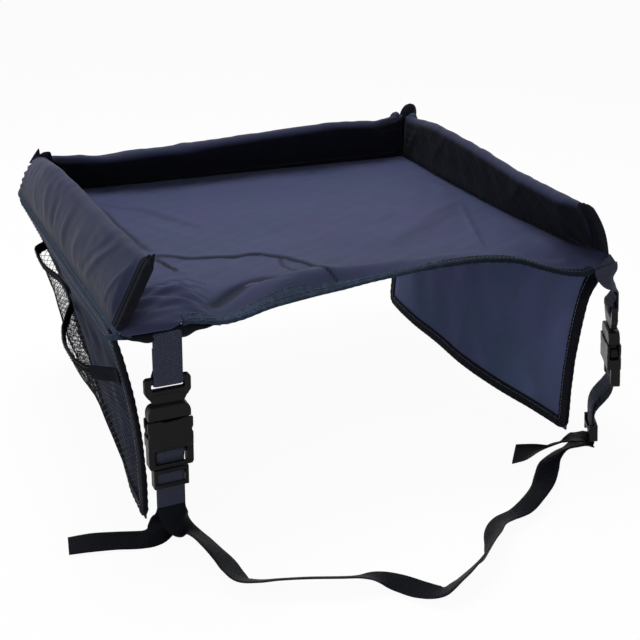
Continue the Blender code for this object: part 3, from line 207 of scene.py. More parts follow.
RIGHT_TAIL_ROUTE = (
    (0.1985, -0.1695, -0.1586, -0.49, -0.87, 0), (0.1945, -0.169, -0.1588, -0.42, -0.9, 0.04),
    (0.187, -0.1715, -0.157, -0.2, -0.88, 0.18), (0.176, -0.1755, -0.1545, 0, -0.85, 0.45),
    (0.163, -0.176, -0.153, 0.1, -0.85, 0.6), (0.148, -0.178, -0.154, 0.05, -0.7, 0.7),
    (0.134, -0.178, -0.154, 0.05, -0.35, 0.95), (0.12, -0.176, -0.154, 0, -0.15, 1),
)
RIGHT_ANCHOR_ROUTE = (
    (0.196, -0.1672, -0.003, 0.95, -0.05, 0.27), (0.1975, -0.1674, -0.009, 0.95, -0.05, 0.2),
    (0.2003, -0.169, -0.017, 0.8, 0.45, 0.05),
)

# Folds in the floor's cloth: start, end, height and width
FLOOR_FOLDS = (
    ((0.16, -0.007), (0.044, -0.095), 0.0016, 0.011),
    ((0.16, -0.007), (0.11, -0.12), 0.0014, 0.0035),
    ((0.155, 0.01), (0.172, 0.06), 0.001, 0.009),
    ((-0.126, 0.107), (-0.074, -0.004), 0.0013, 0.008),
    ((-0.14, 0.07), (-0.099, -0.015), 0.0009, 0.006),
    ((-0.1, 0.14), (-0.042, 0.147), 0.0013, 0.005),
    ((-0.12, 0.128), (-0.07, 0.138), 0.001, 0.004),
    ((-0.06, 0.03), (0.06, 0), 0.0009, 0.016),
    ((0.02, 0.1), (0.12, 0.06), 0.0008, 0.016),
    ((-0.158, -0.1), (-0.122, -0.11), 0.0022, 0.0045),
    ((-0.174, -0.124), (-0.132, -0.133), 0.0026, 0.0045),
    ((-0.18, -0.14), (-0.14, -0.146), 0.0018, 0.004),
    ((-0.137, -0.056), (-0.13, -0.088), 0.002, 0.003),
    ((0.04, -0.125), (0.09, -0.128), 0.0012, 0.005),
    ((0.15, -0.15), (0.18, -0.146), 0.0012, 0.003),
)
# The fold where the cloth leaves the board, and the pressed creases: points, depth, width and the darkness of
# their painted shade
BOARD_FOLD = ((-0.138, -0.045), (-0.133, -0.048), (-0.117, -0.057), (-0.099, -0.063), (-0.081, -0.068),
              (-0.061, -0.072), (-0.048, -0.084), (-0.038, -0.101), (-0.029, -0.12), (-0.02, -0.131))
WALL_SHADOW = ((-0.146, 0.085), (-0.145, 0.033), (-0.143, 0.009), (-0.141, -0.012), (-0.138, -0.035))
FLOOR_CREASES = (
    (BOARD_FOLD, 0.0022, 0.0012, 1),
    (((-0.138, -0.05), (-0.135, -0.066), (-0.132, -0.083)), 0.0024, 0.0017, 1),
    (((-0.049, -0.08), (-0.052, -0.089), (-0.054, -0.097), (-0.052, -0.108), (-0.047, -0.113)),
     0.0012, 0.0018, 0.55),
    (((-0.131, -0.143), (-0.123, -0.138), (-0.105, -0.127), (-0.088, -0.118), (-0.076, -0.116),
      (-0.059, -0.122)), 0.0022, 0.0042, 0.7),
    (((0.146, -0.166), (0.152, -0.165), (0.156, -0.168)), 0.0008, 0.0012, 0.6),
    (WALL_SHADOW, 0.0012, 0.0028, 0.65),
    (((0.161, -0.004), (0.141, -0.052), (0.11, -0.125)), 0.0008, 0.0022, 0.22),
    (((0.158, -0.009), (0.1, -0.053), (0.041, -0.094)), 0.0012, 0.008, 0.22),
    (((-0.147, 0.1), (-0.11, 0.06), (-0.084, 0.005)), 0.0008, 0.003, 0.22),
)

# Folds in the walls' outer faces: (along, up the slope) at each end, height and width
LEFT_WALL_FOLDS = (
    ((-0.118, 0.042), (-0.082, 0.006), 0.0012, 0.0022),
    ((-0.11, 0.044), (-0.074, 0.01), -0.0008, 0.0022),
    ((-0.15, 0.042), (-0.128, 0.004), 0.001, 0.002),
    ((-0.06, 0.036), (-0.045, 0.008), 0.0009, 0.005),
    ((-0.02, 0.04), (-0.01, 0.006), 0.001, 0.006),
    ((0.015, 0.038), (0.022, 0.01), -0.0008, 0.005),
    ((0.05, 0.04), (0.046, 0.012), 0.0009, 0.007),
    ((0.095, 0.036), (0.08, 0.01), 0.0007, 0.006),
)
BACK_WALL_FOLDS = (
    ((-0.15, 0.046), (-0.12, 0.03), 0.001, 0.004),
    ((-0.06, 0.048), (-0.03, 0.036), 0.0012, 0.004),
    ((0.06, 0.048), (0.085, 0.038), 0.0008, 0.004),
    ((0.14, 0.046), (0.165, 0.03), 0.001, 0.004),
)
RIGHT_WALL_FOLDS = (
    ((-0.08, 0.046), (-0.05, 0.02), 0.0008, 0.005),
    ((0.06, 0.046), (0.085, 0.02), 0.0008, 0.005),
    ((0.12, 0.04), (0.14, 0.012), 0.0009, 0.004),
)


# Sizes and colours that a user may change

class TraySizes(PropertyGroup):
    """The tray's sizes that can be changed without leaving the frame."""

    fold_height: FloatProperty(
        name="Fold height", description="How high the cloth's folds stand, as a factor of the drawn ones",
        default=1.0, min=0.0, max=2.0, subtype="FACTOR")
    wall_height: FloatProperty(
        name="Wall height", description="Height of the padded walls up their slope",
        default=0.050, unit="LENGTH", precision=4)
    wall_thickness: FloatProperty(
        name="Wall thickness", description="Thickness of the padded walls",
        default=0.011, unit="LENGTH", precision=4)
    net_pitch: FloatProperty(
        name="Net pitch", description="Distance between the meshes of the pocket net",
        default=0.0050, unit="LENGTH", precision=4)
    net_strand: FloatProperty(
        name="Net strand", description="Radius of the net's strands",
        default=0.00031, unit="LENGTH", precision=5)
    stitch_length: FloatProperty(
        name="Stitch length", description="Length of one stitch",
        default=0.0024, unit="LENGTH", precision=4)
    stitch_radius: FloatProperty(
        name="Stitch radius", description="Half the thickness of the sewing thread",
        default=0.00028, unit="LENGTH", precision=5)


def colour_property(label, about, default):
    """A colour property with its name, description and default."""
    return FloatVectorProperty(name=label, description=about, subtype="COLOR", size=3, min=0.0, max=1.0,
                               default=default)


class TrayColours(PropertyGroup):
    """The tray's colours, in linear light."""

    nylon: colour_property("Nylon", "The navy cloth of floor, walls and flaps", (0.050, 0.058, 0.122))
    binding: colour_property("Binding", "The binding of the front edge", (0.025, 0.037, 0.061))
    tape: colour_property("Tape", "The black tape of the flaps and the wall ends", (0.0055, 0.0060, 0.0095))
    webbing: colour_property("Webbing", "The navy webbing of the straps", (0.046, 0.052, 0.080))
    net: colour_property("Net", "The dark net of the pockets", (0.011, 0.013, 0.020))
    elastic: colour_property("Elastic", "The black elastic", (0.004, 0.004, 0.005))
    plastic: colour_property("Plastic", "The black plastic of the buckles", (0.006, 0.006, 0.007))
    board: colour_property("Board", "The plastic sheet inside the floor", (0.62, 0.61, 0.57))
    thread: colour_property("Thread", "The sewing thread", (0.130, 0.150, 0.210))
    floor: colour_property("Floor", "The pale floor under the tray", (0.86, 0.86, 0.86))


def sizes():
    """The scene's tray sizes."""
    return bpy.context.scene.tray_sizes


def colours():
    """The scene's tray colours."""
    return bpy.context.scene.tray_colours


# Shader maths

class Value:
    """One socket of a material, with Python's operators as Math nodes."""

    def __init__(self, finish, socket):
        self.finish = finish
        self.socket = socket

    def math(self, operation, first, second=0.0):
        """A Math node on this value and another."""
        return self.finish.node("ShaderNodeMath", {"operation": operation}, {0: first, 1: second})

    def __add__(self, other):
        return self.math("ADD", self, other)

    def __radd__(self, other):
        return self.math("ADD", other, self)

    def __sub__(self, other):
        return self.math("SUBTRACT", self, other)

    def __rsub__(self, other):
        return self.math("SUBTRACT", other, self)

    def __mul__(self, other):
        return self.math("MULTIPLY", self, other)

    def __rmul__(self, other):
        return self.math("MULTIPLY", other, self)

    def __pow__(self, other):
        return self.math("POWER", self, other)

    def __gt__(self, other):
        return self.math("GREATER_THAN", self, other)

    def sine(self):
        """The sine of this value."""
        return self.math("SINE", self)

    def size(self):
        """This value without its sign."""
        return self.math("ABSOLUTE", self)

    def held(self):
        """This value kept between 0 and 1."""
        return self.finish.node("ShaderNodeClamp", {}, {0: self, 1: 0.0, 2: 1.0})

    def ribs(self, pitch):
        """A sine from 0 to 1 along this value, one wave to each pitch."""
        return (self * (TURN / pitch)).sine() * 0.5 + 0.5


class NodeTree:
    """A material's or the world's node tree, built node by node."""

    def __init__(self, tree, shader):
        self.tree = tree
        self.shader = tree.nodes[shader]

    def feed(self, socket, value):
        """Gives a socket a value or a link."""
        if isinstance(value, Value):
            self.tree.links.new(value.socket, socket)
        else:
            socket.default_value = value

    def set(self, name, value):
        """Gives one of the shader's own sockets a value or a link."""
        self.feed(self.shader.inputs[name], value)

    def node(self, kind, settings, values, output=0):
        """Any node: its type, its settings, and what its sockets get."""
        made = self.tree.nodes.new(kind)
        for setting, value in settings.items():
            setattr(made, setting, value)
        for socket, value in values.items():
            self.feed(made.inputs[socket], value)
        return Value(self, made.outputs[output])

    def seen_directly(self):
        """1 for rays from the camera, from gloss and through glass, which see the pale backdrop."""
        rays = [self.node("ShaderNodeLightPath", {}, {}, name)
                for name in ("Is Camera Ray", "Is Glossy Ray", "Is Transmission Ray")]
        return (rays[0] + rays[1] + rays[2]).held()


class Finish(NodeTree):
    """A material on a Principled shader."""

    def __init__(self, name, colour, roughness, **fixed):
        self.material = bpy.data.materials.new(name)
        self.material.use_nodes = True
        super().__init__(self.material.node_tree, "Principled BSDF")
        self.set("Base Color", (*colour, 1.0))
        self.set("Roughness", roughness)
        for socket, value in fixed.items():
            self.set(socket.replace("_", " "), value)
        self.material.diffuse_color = (*colour, 1.0)

    def place(self, source="Object"):
        """The coordinates that a pattern follows: Object or UV."""
        return self.node("ShaderNodeTexCoord", {}, {}, source)

    def axis(self, vector, letter):
        """One component of a vector."""
        return self.node("ShaderNodeSeparateXYZ", {}, {0: vector}, letter)

    def noise(self, vector, scale, detail=2.0, roughness=0.5):
        """A noise from 0 to 1."""
        return self.node("ShaderNodeTexNoise", {},
                         {"Vector": vector, "Scale": scale, "Detail": detail, "Roughness": roughness})

    def mix(self, share, first, second):
        """A colour between two, each a tuple or a value."""
        first, second = ((*tone, 1.0) if isinstance(tone, tuple) else tone for tone in (first, second))
        return self.node("ShaderNodeMix", {"data_type": "RGBA"}, {0: share, 6: first, 7: second}, 2)

    def darkened(self, cloth, colour):
        """Another colour, a painted shade, where the mesh's attribute shade is 1."""
        share = self.node("ShaderNodeAttribute", {"attribute_name": "shade"}, {}, "Fac")
        return self.mix(share, cloth, colour)

    def bump(self, height, strength):
        """Feeds the shader's normal from a height in metres."""
        raised = {"Height": height, "Distance": 1.0, "Strength": strength}
        self.set("Normal", self.node("ShaderNodeBump", {}, raised))


def shade(colour, factor):
    """A colour made lighter or darker by a factor."""
    return tuple(min(1.0, part * factor) for part in colour)


def plain_weave(finish, pitch):
    """Threads over and under each other, square to the cloth's own UV, in metres."""
    uv = finish.place("UV")
    warp, weft = ((finish.axis(uv, letter) * (math.pi / pitch)).sine() for letter in "XY")
    over = (warp * weft) > 0.0
    return warp.size() * over + weft.size() * (1.0 - over)


def nylon_finish(name="navy_nylon", factor=1.0, inner=1.0):
    """Coated nylon: a fine weave, a soft sheen, a slight change of hue and pressed creases.

    A painted shade: where the attribute shade is 1, the colour darkens by the factor inner.
    """
    colour = shade(tuple(colours().nylon), factor)
    finish = Finish(name, colour, 0.64, Sheen_Weight=0.04, Sheen_Roughness=0.5, Specular_IOR_Level=0.08)
    place = finish.place()
    drift = finish.noise(place, 14.0, 3.0)
    hue = finish.mix((drift * 2.2 - 0.6).held(), (colour[0] * 0.90, colour[1] * 1.02, colour[2] * 0.96),
                     (colour[0] * 1.12, colour[1] * 0.98, colour[2] * 1.05))
    grain = finish.noise(place, 900.0, 1.0)
    cloth = finish.mix((grain * 0.35).held(), hue, shade(colour, 1.35))
    # Painted shade where the attribute shade is 1.
    finish.set("Base Color", finish.darkened(cloth, shade(colour, inner)) if inner < 1.0 else cloth)
    crush = finish.noise(place, 55.0, 3.0, 0.6)
    finish.set("Roughness", 0.50 + drift * 0.20)
    finish.bump(plain_weave(finish, WEAVE_PITCH) * 0.00006 + crush * 0.0006, 0.55)
    return finish.material


def flap_finish(name, factor):
    """A flap's nylon, marked in fine lines where the net behind it presses."""
    colour = shade(tuple(colours().nylon), factor)
    finish = Finish(name, colour, 0.70, Sheen_Weight=0.02, Sheen_Roughness=0.5, Specular_IOR_Level=0.04)
    place = finish.place()
    drift = finish.noise(place, 11.0, 3.0)
    hue = finish.mix((drift * 2.4 - 0.7).held(), (colour[0] * 0.80, colour[1] * 0.98, colour[2] * 0.86),
                     (colour[0] * 0.98, colour[1] * 0.92, colour[2] * 0.95))
    along, up = finish.axis(place, "Y"), finish.axis(place, "Z")
    patches = (finish.noise(place, 22.0, 1.0) * 5.0 - 2.4).held()
    low = (up * -30.0 - 2.4).held() * (along * -12.0 + 0.6).held()
    marks = up.ribs(0.0030) ** 2.0 * (0.45 + 0.55 * along.ribs(0.0026)) * patches * low
    finish.set("Base Color", finish.mix((marks * 0.75).held(), hue, shade(colour, 1.9)))
    crush = finish.noise(place, 40.0, 3.0, 0.6)
    finish.bump(plain_weave(finish, WEAVE_PITCH) * 0.00006 + crush * 0.0007 + marks * 0.00012, 0.55)
    finish.set("Roughness", 0.56 + drift * 0.18)
    return finish.material


def tape_finish(name, colour, inner=1.0):
    """A grosgrain tape: fine ribs across it and a dull, slightly worn face, with painted shade as on the
    nylon.
    """
    finish = Finish(name, colour, 0.80, Specular_IOR_Level=0.06)
    ribs = finish.axis(finish.place("UV"), "Y").ribs(TAPE_RIB)
    wear = finish.noise(finish.place(), 160.0, 3.0, 0.65)
    cloth = finish.mix((wear * 1.9 - 0.75 + ribs * 0.12).held(), colour, shade(colour, 2.6))
    # Painted shade where the attribute shade is 1.
    finish.set("Base Color", finish.darkened(cloth, shade(colour, inner)) if inner < 1.0 else cloth)
    finish.set("Roughness", 0.60 + wear * 0.25)
    finish.bump(ribs * 0.00012 + wear * 0.0002, 0.7)
    return finish.material


def webbing_finish(name, factor):
    """Polypropylene webbing: a coarse herringbone with thick edges and a faint gloss on each thread."""
    colour = shade(tuple(colours().webbing), factor)
    finish = Finish(name, colour, 0.60, Specular_IOR_Level=0.05)
    uv, place = finish.place("UV"), finish.place()
    across, along = finish.axis(uv, "X"), finish.axis(uv, "Y")
    rows = (along * (TURN / 0.0016) + (across * (TURN / 0.0034)).sine() * 1.9).sine() * 0.5 + 0.5
    height = rows * 0.65 + across.ribs(0.0011) * 0.35
    flecks = finish.noise(place, 1300.0, 1.0)
    finish.set("Base Color", finish.mix((height * 0.9 + flecks * 0.9 - 0.75).held(), shade(colour, 0.65),
                                        shade(colour, 2.5)))
    finish.set("Roughness", 0.66 - height * 0.2)
    finish.bump(height * 0.00022, 0.8)
    return finish.material


def elastic_finish():
    """Black elastic: gathered ribs along it that catch little light."""
    colour = tuple(colours().elastic)
    finish = Finish("black_elastic", colour, 0.78, Specular_IOR_Level=0.06)
    ribs = finish.axis(finish.place("UV"), "Y").ribs(0.0013)
    fuzz = finish.noise(finish.place(), 420.0)
    finish.set("Base Color", finish.mix((fuzz * 1.4 - 0.5 + ribs * 0.1).held(), colour, shade(colour, 2.2)))
    finish.set("Roughness", 0.68 + fuzz * 0.2)
    finish.bump(ribs * 0.00018 + fuzz * 0.0001, 0.7)
    return finish.material


def net_finish():
    """Warp-knitted polyester thread."""
    colour = tuple(colours().net)
    finish = Finish("net_thread", colour, 0.65, Sheen_Weight=0.06, Specular_IOR_Level=0.15)
    fuzz = finish.noise(finish.place(), 700.0)
    finish.set("Base Color", finish.mix(fuzz, shade(colour, 0.7), shade(colour, 1.6)))
    finish.bump(fuzz * 0.0001, 0.5)
    return finish.material


def plastic_finish():
    """Moulded black acetal: a fine spark-eroded texture and a soft gloss, rubbed brighter in places."""
    colour = tuple(colours().plastic)
    finish = Finish("black_plastic", colour, 0.26, Specular_IOR_Level=0.13)
    place = finish.place()
    texture = finish.noise(place, 1800.0)
    rubbed = finish.noise(place, 70.0, 3.0, 0.6)
    finish.set("Base Color", finish.mix((rubbed * 1.6 - 0.6).held(), colour, shade(colour, 1.9)))
    finish.set("Roughness", 0.24 + rubbed * 0.22)
    finish.bump(texture * 0.00004 + rubbed * 0.0001, 0.5)
    return finish.material


def board_finish():
    """The stiff board: matt plastic sheet with faint extrusion lines."""
    colour = tuple(colours().board)
    finish = Finish("board_plastic", colour, 0.5)
    drawn = finish.node("ShaderNodeVectorMath", {"operation": "MULTIPLY"},
                        {0: finish.place(), 1: (400.0, 6.0, 6.0)})
    lines = finish.noise(drawn, 1.0)
    finish.set("Base Color", finish.mix(lines, shade(colour, 0.92), colour))
    finish.set("Roughness", 0.42 + lines * 0.15)
    finish.bump(lines * 0.0001, 0.4)
    return finish.material


def thread_finish(name, colour):
    """Twisted sewing thread."""
    finish = Finish(name, colour, 0.5, Specular_IOR_Level=0.4)
    twist = finish.axis(finish.place("UV"), "Y").ribs(0.0005)
    finish.set("Base Color", finish.mix(twist, shade(colour, 0.7), shade(colour, 1.3)))
    finish.bump(twist * 0.00008, 0.5)
    return finish.material


MATERIALS = {}


def material_of(name):
    """One of the tray's materials, made once."""
    shades = colours()
    makers = {
        "nylon": nylon_finish,
        "floor": lambda: nylon_finish("floor_nylon", 1.03, 0.03),
        # The walls' nylon is the same cloth darkened, a painted shade, and is darker still on its inner
        # faces.
        "wall": lambda: nylon_finish("wall_nylon_painted_shade", 0.56, 0.14),
        # The flaps are one cloth in two copies: the left is darkened as painted shade, the right is lightened
        # as painted light.
        "left_flap": lambda: flap_finish("left_flap_nylon", 0.55),
        "right_flap": lambda: flap_finish("right_flap_nylon", 2.7),
        "binding": lambda: tape_finish("front_binding_tape", tuple(shades.binding), 0.2),
        "tape": lambda: tape_finish("black_binding", tuple(shades.tape)),
        "webbing": lambda: webbing_finish("navy_webbing", 1.0),
        # The belt and its tails are the same webbing darkened, a painted shade.
        "belt": lambda: webbing_finish("belt_webbing_painted_shade", 0.10),
        "elastic": elastic_finish,
        "net": net_finish,
        "plastic": plastic_finish,
        "board": board_finish,
        "thread": lambda: thread_finish("navy_thread", tuple(shades.thread)),
        "soft_thread": lambda: thread_finish("soft_thread", shade(tuple(shades.thread), 0.38)),
        "dark_thread": lambda: thread_finish("dark_thread", shade(tuple(shades.thread), 0.12)),
    }
    if name not in MATERIALS:
        MATERIALS[name] = makers[name]()
    return MATERIALS[name]


# Meshes from arrays

def smooth_step(share):
    """0 to 1 with level ends: 3 s squared less 2 s cubed, for a share s held to 0..1."""
    share = np.clip(share, 0.0, 1.0)
    return share * share * (3.0 - 2.0 * share)


def bell(distance, width):
    """1 at distance 0, falling to 0 as e to the minus distance over width squared."""
    return np.exp(-(distance / width) ** 2)


def wave(places, length):
    """A sine along places, of the given wavelength."""
    return np.sin(TURN * places / length)


def within(places, low, high, ease):
    """1 between two bounds, easing to 0 at each."""
    return smooth_step((places - low) / ease) * smooth_step((high - places) / ease)


def circle(count):
    """Angles round a whole turn."""
    return np.linspace(0.0, TURN, count, endpoint=False)


def grid(x, y, z):
    """One array of points from three that fit each other."""
    return np.stack(np.broadcast_arrays(x, y, z), axis=-1)


def unit(vectors):
    """Vectors of length 1."""
    return vectors / np.maximum(np.linalg.norm(vectors, axis=-1, keepdims=True), 1e-12)


def soft_table(table, places, spread):
    """A table read at places and averaged over nine neighbours within the spread, so it has no corners."""
    xs, ys = (np.array(column) for column in zip(*table))
    shifts = np.linspace(-spread, spread, 9)
    return np.mean([np.interp(places + shift, xs, ys) for shift in shifts], axis=0)


def fold(u, v, start, end, height, width):
    """A fold's relief: its height times a bell of the distance from a line, tapered to its two ends."""
    start, end = np.array(start), np.array(end)
    run = end - start
    share = ((u - start[0]) * run[0] + (v - start[1]) * run[1]) / (run @ run)
    near = np.clip(share, 0.0, 1.0)
    distance = np.hypot(u - start[0] - near * run[0], v - start[1] - near * run[1])
    taper = np.sin(math.pi * np.clip(0.06 + 0.88 * share, 0.0, 1.0)) ** 0.6
    return height * bell(distance, width) * taper


def folds(u, v, table):
    """All of a table's folds added, scaled by the fold height."""
    relief = np.zeros(np.broadcast(u, v).shape)
    for start, end, height, width in table:
        relief = relief + fold(u, v, start, end, height, width)
    return relief * sizes().fold_height


def ripple(u, v, seed, wavelength, waves=7):
    """A gentle uneven surface from -1 to 1: the mean of a few sine waves in seeded directions."""
    draw = np.random.default_rng(seed)
    total = np.zeros(np.broadcast(u, v).shape)
    for _ in range(waves):
        angle, phase, stretch = draw.uniform(0, math.pi), draw.uniform(0, TURN), draw.uniform(0.6, 1.6)
        total = total + np.sin(TURN * (u * math.cos(angle) + v * math.sin(angle))
                               / (wavelength * stretch) + phase)
    return total / waves * 1.6


def grid_quads(rows, columns, wrapped=False):
    """Four corners of every square of a grid of points, its last column joined to the first if wrapped."""
    row = np.arange(rows - 1)[:, None]
    column = np.arange(columns if wrapped else columns - 1)[None, :]
    after = (column + 1) % columns
    return np.stack([row * columns + column, row * columns + after, (row + 1) * columns + after,
                     (row + 1) * columns + column], axis=-1).reshape(-1, 4)


def quad_uv(u, v):
    """The UV of every corner of a grid's squares, from u along its columns and v along its rows."""
    left, right = u[:-1], u[1:]
    low, high = v[:-1, None], v[1:, None]
    corners = [np.broadcast_arrays(a, b) for a, b in
               ((left, low), (right, low), (right, high), (left, high))]
    return np.stack([np.stack(pair, axis=-1) for pair in corners], axis=-2).reshape(-1, 2)


def run_lengths(points, closed=False):
    """Distances run along a line of points, and back to its start if closed."""
    steps = np.linalg.norm(np.diff(points, axis=0), axis=-1)
    if closed:
        steps = np.append(steps, np.linalg.norm(points[0] - points[-1]))
    return np.concatenate([[0.0], np.cumsum(steps)])


def add_piece(name, points, polygons, uvs, finish, sharp=40.0):
    """One mesh object from points and lists of polygons; its faces are turned outward as a whole.

    polygons is a list of arrays, each of faces with the same number of corners, and uvs one array of
    corner UVs for each.
    """
    points = np.asarray(points, dtype=np.float64).reshape(-1, 3)
    volume = 0.0
    for faces in polygons:
        first = points[faces[:, 0]]
        for corner in range(1, faces.shape[1] - 1):
            volume += np.einsum("ij,ij->i", first, np.cross(points[faces[:, corner]],
                                                            points[faces[:, corner + 1]])).sum()
    if volume < 0:
        polygons = [faces[:, ::-1] for faces in polygons]
        uvs = [uv.reshape(len(faces), -1, 2)[:, ::-1].reshape(-1, 2) for faces, uv in zip(polygons, uvs)]
    mesh = bpy.data.meshes.new(name)
    corners = np.concatenate([faces.ravel() for faces in polygons])
    counts = np.concatenate([np.full(len(faces), faces.shape[1]) for faces in polygons])
    mesh.vertices.add(len(points))
    mesh.vertices.foreach_set("co", points.ravel())
    mesh.loops.add(len(corners))
    mesh.loops.foreach_set("vertex_index", corners)
    mesh.polygons.add(len(counts))
    mesh.polygons.foreach_set("loop_start", np.concatenate([[0], np.cumsum(counts)[:-1]]))
    layer = mesh.uv_layers.new(name="UVMap")
    mesh.update(calc_edges=True)
    layer.data.foreach_set("uv", np.concatenate(uvs).ravel())
    mesh.polygons.foreach_set("use_smooth", np.ones(len(counts), dtype=bool))
    mesh.set_sharp_from_angle(angle=math.radians(sharp))
    mesh.materials.append(material_of(finish))
    mesh.validate()
    made = bpy.data.objects.new(name, mesh)
    bpy.context.scene.collection.objects.link(made)
    return made


def add_tube(name, rings, finish, sharp=40.0):
    """A closed solid through rings of points (rings by corners), with a face over each end."""
    count, corners = rings.shape[:2]
    quads = grid_quads(count, corners, wrapped=True)
    middle = rings[count // 2]
    u = run_lengths(middle, closed=True)
    v = run_lengths(rings.mean(axis=1))
    caps = np.stack([np.arange(corners)[::-1], (count - 1) * corners + np.arange(corners)])
    cap_uv = np.tile(np.stack([u[:-1], np.zeros(corners)], axis=-1), (2, 1))
    return add_piece(name, rings, [quads, caps], [quad_uv(u, v), cap_uv], finish, sharp)


def add_strands(name, centres, outs, radius, flat, finish, sides=3):
    """Many thin tubes at once: centres are strands by points, and outs the surface normals there.

    Each tube's section is a polygon of the radius, squeezed along the normal by flat.
    """
    tangents = unit(np.gradient(centres, axis=1))
    across = unit(np.cross(outs, tangents))
    outs = np.cross(tangents, across)
    angles = TURN * np.arange(sides) / sides
    ring = (across[:, :, None] * np.cos(angles)[:, None] + outs[:, :, None] * np.sin(angles)[:, None] * flat)
    points = centres[:, :, None] + ring * radius
    strands, stations = centres.shape[:2]
    one = grid_quads(stations, sides, wrapped=True)
    starts = (np.arange(strands) * stations * sides)[:, None, None]
    quads = (one[None] + starts).reshape(-1, 4)
    caps = np.stack([np.arange(sides)[::-1], (stations - 1) * sides + np.arange(sides)])
    caps = (caps[None] + starts).reshape(-1, sides)
    length = run_lengths(centres[0])
    uv = np.tile(quad_uv(np.linspace(0.0, TURN * radius, sides + 1), length), (strands, 1))
    return add_piece(name, points, [quads, caps], [uv, np.zeros((caps.size, 2))], finish, 180.0)


def add_sheet(name, upper, lower, finish, sharp=60.0):
    """A closed sheet between two grids of points, with squares round its rim."""
    rows, columns = upper.shape[:2]
    under = rows * columns
    quads = grid_quads(rows, columns)
    below = under + quads[:, ::-1]
    rim = np.concatenate([np.arange(columns), np.arange(1, rows) * columns + columns - 1,
                          (rows - 1) * columns + np.arange(columns - 2, -1, -1),
                          np.arange(rows - 2, 0, -1) * columns])
    after = np.roll(rim, -1)
    side = np.stack([rim, under + rim, under + after, after], axis=-1)
    u, v = run_lengths(upper[rows // 2]), run_lengths(upper[:, columns // 2])
    uv = quad_uv(u, v)
    flat = np.stack(np.broadcast_arrays(u[None, :], v[:, None]), axis=-1).reshape(-1, 2)
    side_uv = flat[np.stack([rim, rim, after, after], axis=-1)].reshape(-1, 2)
    below_uv = uv.reshape(-1, 4, 2)[:, ::-1].reshape(-1, 2)
    points = np.concatenate([upper.reshape(-1, 3), lower.reshape(-1, 3)])
    return add_piece(name, points, [quads, below, side], [uv, below_uv, side_uv], finish, sharp)


def grid_normals(points):
    """Unit normals of a grid of points, from the cross product of its two directions."""
    return unit(np.cross(np.gradient(points, axis=0), np.gradient(points, axis=1)))


def paint(obj, name, values):
    """Gives a mesh's points an attribute from 0 to 1, in the order of its grid."""
    layer = obj.data.attributes.new(name, "FLOAT", "POINT")
    layer.data.foreach_set("value", np.ascontiguousarray(values, dtype=np.float32).ravel())


def settle(obj, body, slot, *nodes):
    """Puts a finished piece on its body and lets it stand for CAD nodes; its finish slot is not used."""
    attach(obj, body)
    if nodes:
        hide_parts(*nodes)
    return obj


def sew(name, line, outs, thread, body, slot):
    """Stitches along a line: low arched tubes of the stitch length, one at every pitch.

    line and outs are the seam's points and the cloth's normals there. Each stitch runs from below the
    cloth, over it by its own radius, and back.
    """
    run = run_lengths(line)
    count = max(2, int(run[-1] / STITCH_PITCH))
    middles = (np.arange(count) + 0.5) * run[-1] / count
    shares = np.linspace(-1.0, 1.0, 5)
    at = middles[:, None] + shares[None, :] * sizes().stitch_length / 2
    centres = np.stack([np.interp(at, run, line[:, axis]) for axis in range(3)], axis=-1)
    normals = unit(np.stack([np.interp(at, run, outs[:, axis]) for axis in range(3)], axis=-1))
    arch = (1.0 - shares ** 4)[None, :, None] * 2.0 - 0.8
    centres = centres + normals * arch * sizes().stitch_radius
    stitches = add_strands(name, centres, normals, sizes().stitch_radius, 1.0, thread, sides=5)
    return settle(stitches, body, slot)


# The floor sheet

def front_edge(x):
    """The sheet's front edge: bowed in by the bow times the square of a cosine over the width."""
    return FRONT_EDGE + FRONT_BOW * np.cos(math.pi * x / (2 * HALF_WIDTH)) ** 2


def droop(x, y):
    """How far the apron droops: a share along the front, easing to nothing where the board starts."""
    depth = APRON_DROOP * soft_table(DROOP_SHARES, x / HALF_WIDTH, 0.05)
    return depth * smooth_step((APRON_START - y) / (APRON_START - front_edge(x)))


def corner_share(x):
    """1 in the puffed left front corner, 0 to its right."""
    return smooth_step((-0.118 - x) / 0.030) * smooth_step((0.200 + x) / 0.006)


def line_reach(x, y, points):
    """The distance from each place to a line of points, and the share of the line's length there."""
    points = np.array(points)
    run = run_lengths(points)
    nearest, share = np.full(x.shape, np.inf), np.zeros(x.shape)
    for index, (start, step) in enumerate(zip(points, np.diff(points, axis=0))):
        part = np.clip(((x - start[0]) * step[0] + (y - start[1]) * step[1]) / (step @ step), 0.0, 1.0)
        distance = np.hypot(x - start[0] - part * step[0], y - start[1] - part * step[1])
        nearer = distance < nearest
        nearest = np.where(nearer, distance, nearest)
        share = np.where(nearer, (run[index] + part * (run[index + 1] - run[index])) / run[-1], share)
    return nearest, share


def floor_creases(x, y):
    """The pressed creases' depth and the darkness of their painted shade: a bell across each line, tapered to
    its two ends.
    """
    depth, dark = np.zeros(x.shape), np.zeros(x.shape)
    for points, deep, width, shadow in FLOOR_CREASES:
        distance, share = line_reach(x, y, points)
        taper = np.sin(math.pi * (0.04 + 0.92 * share)) ** 0.5
        depth = np.maximum(depth, deep * bell(distance, width) * taper)
        dark = np.maximum(dark, np.minimum(1.0, 1.8 * bell(distance, width) * taper) * shadow)
    return depth, dark


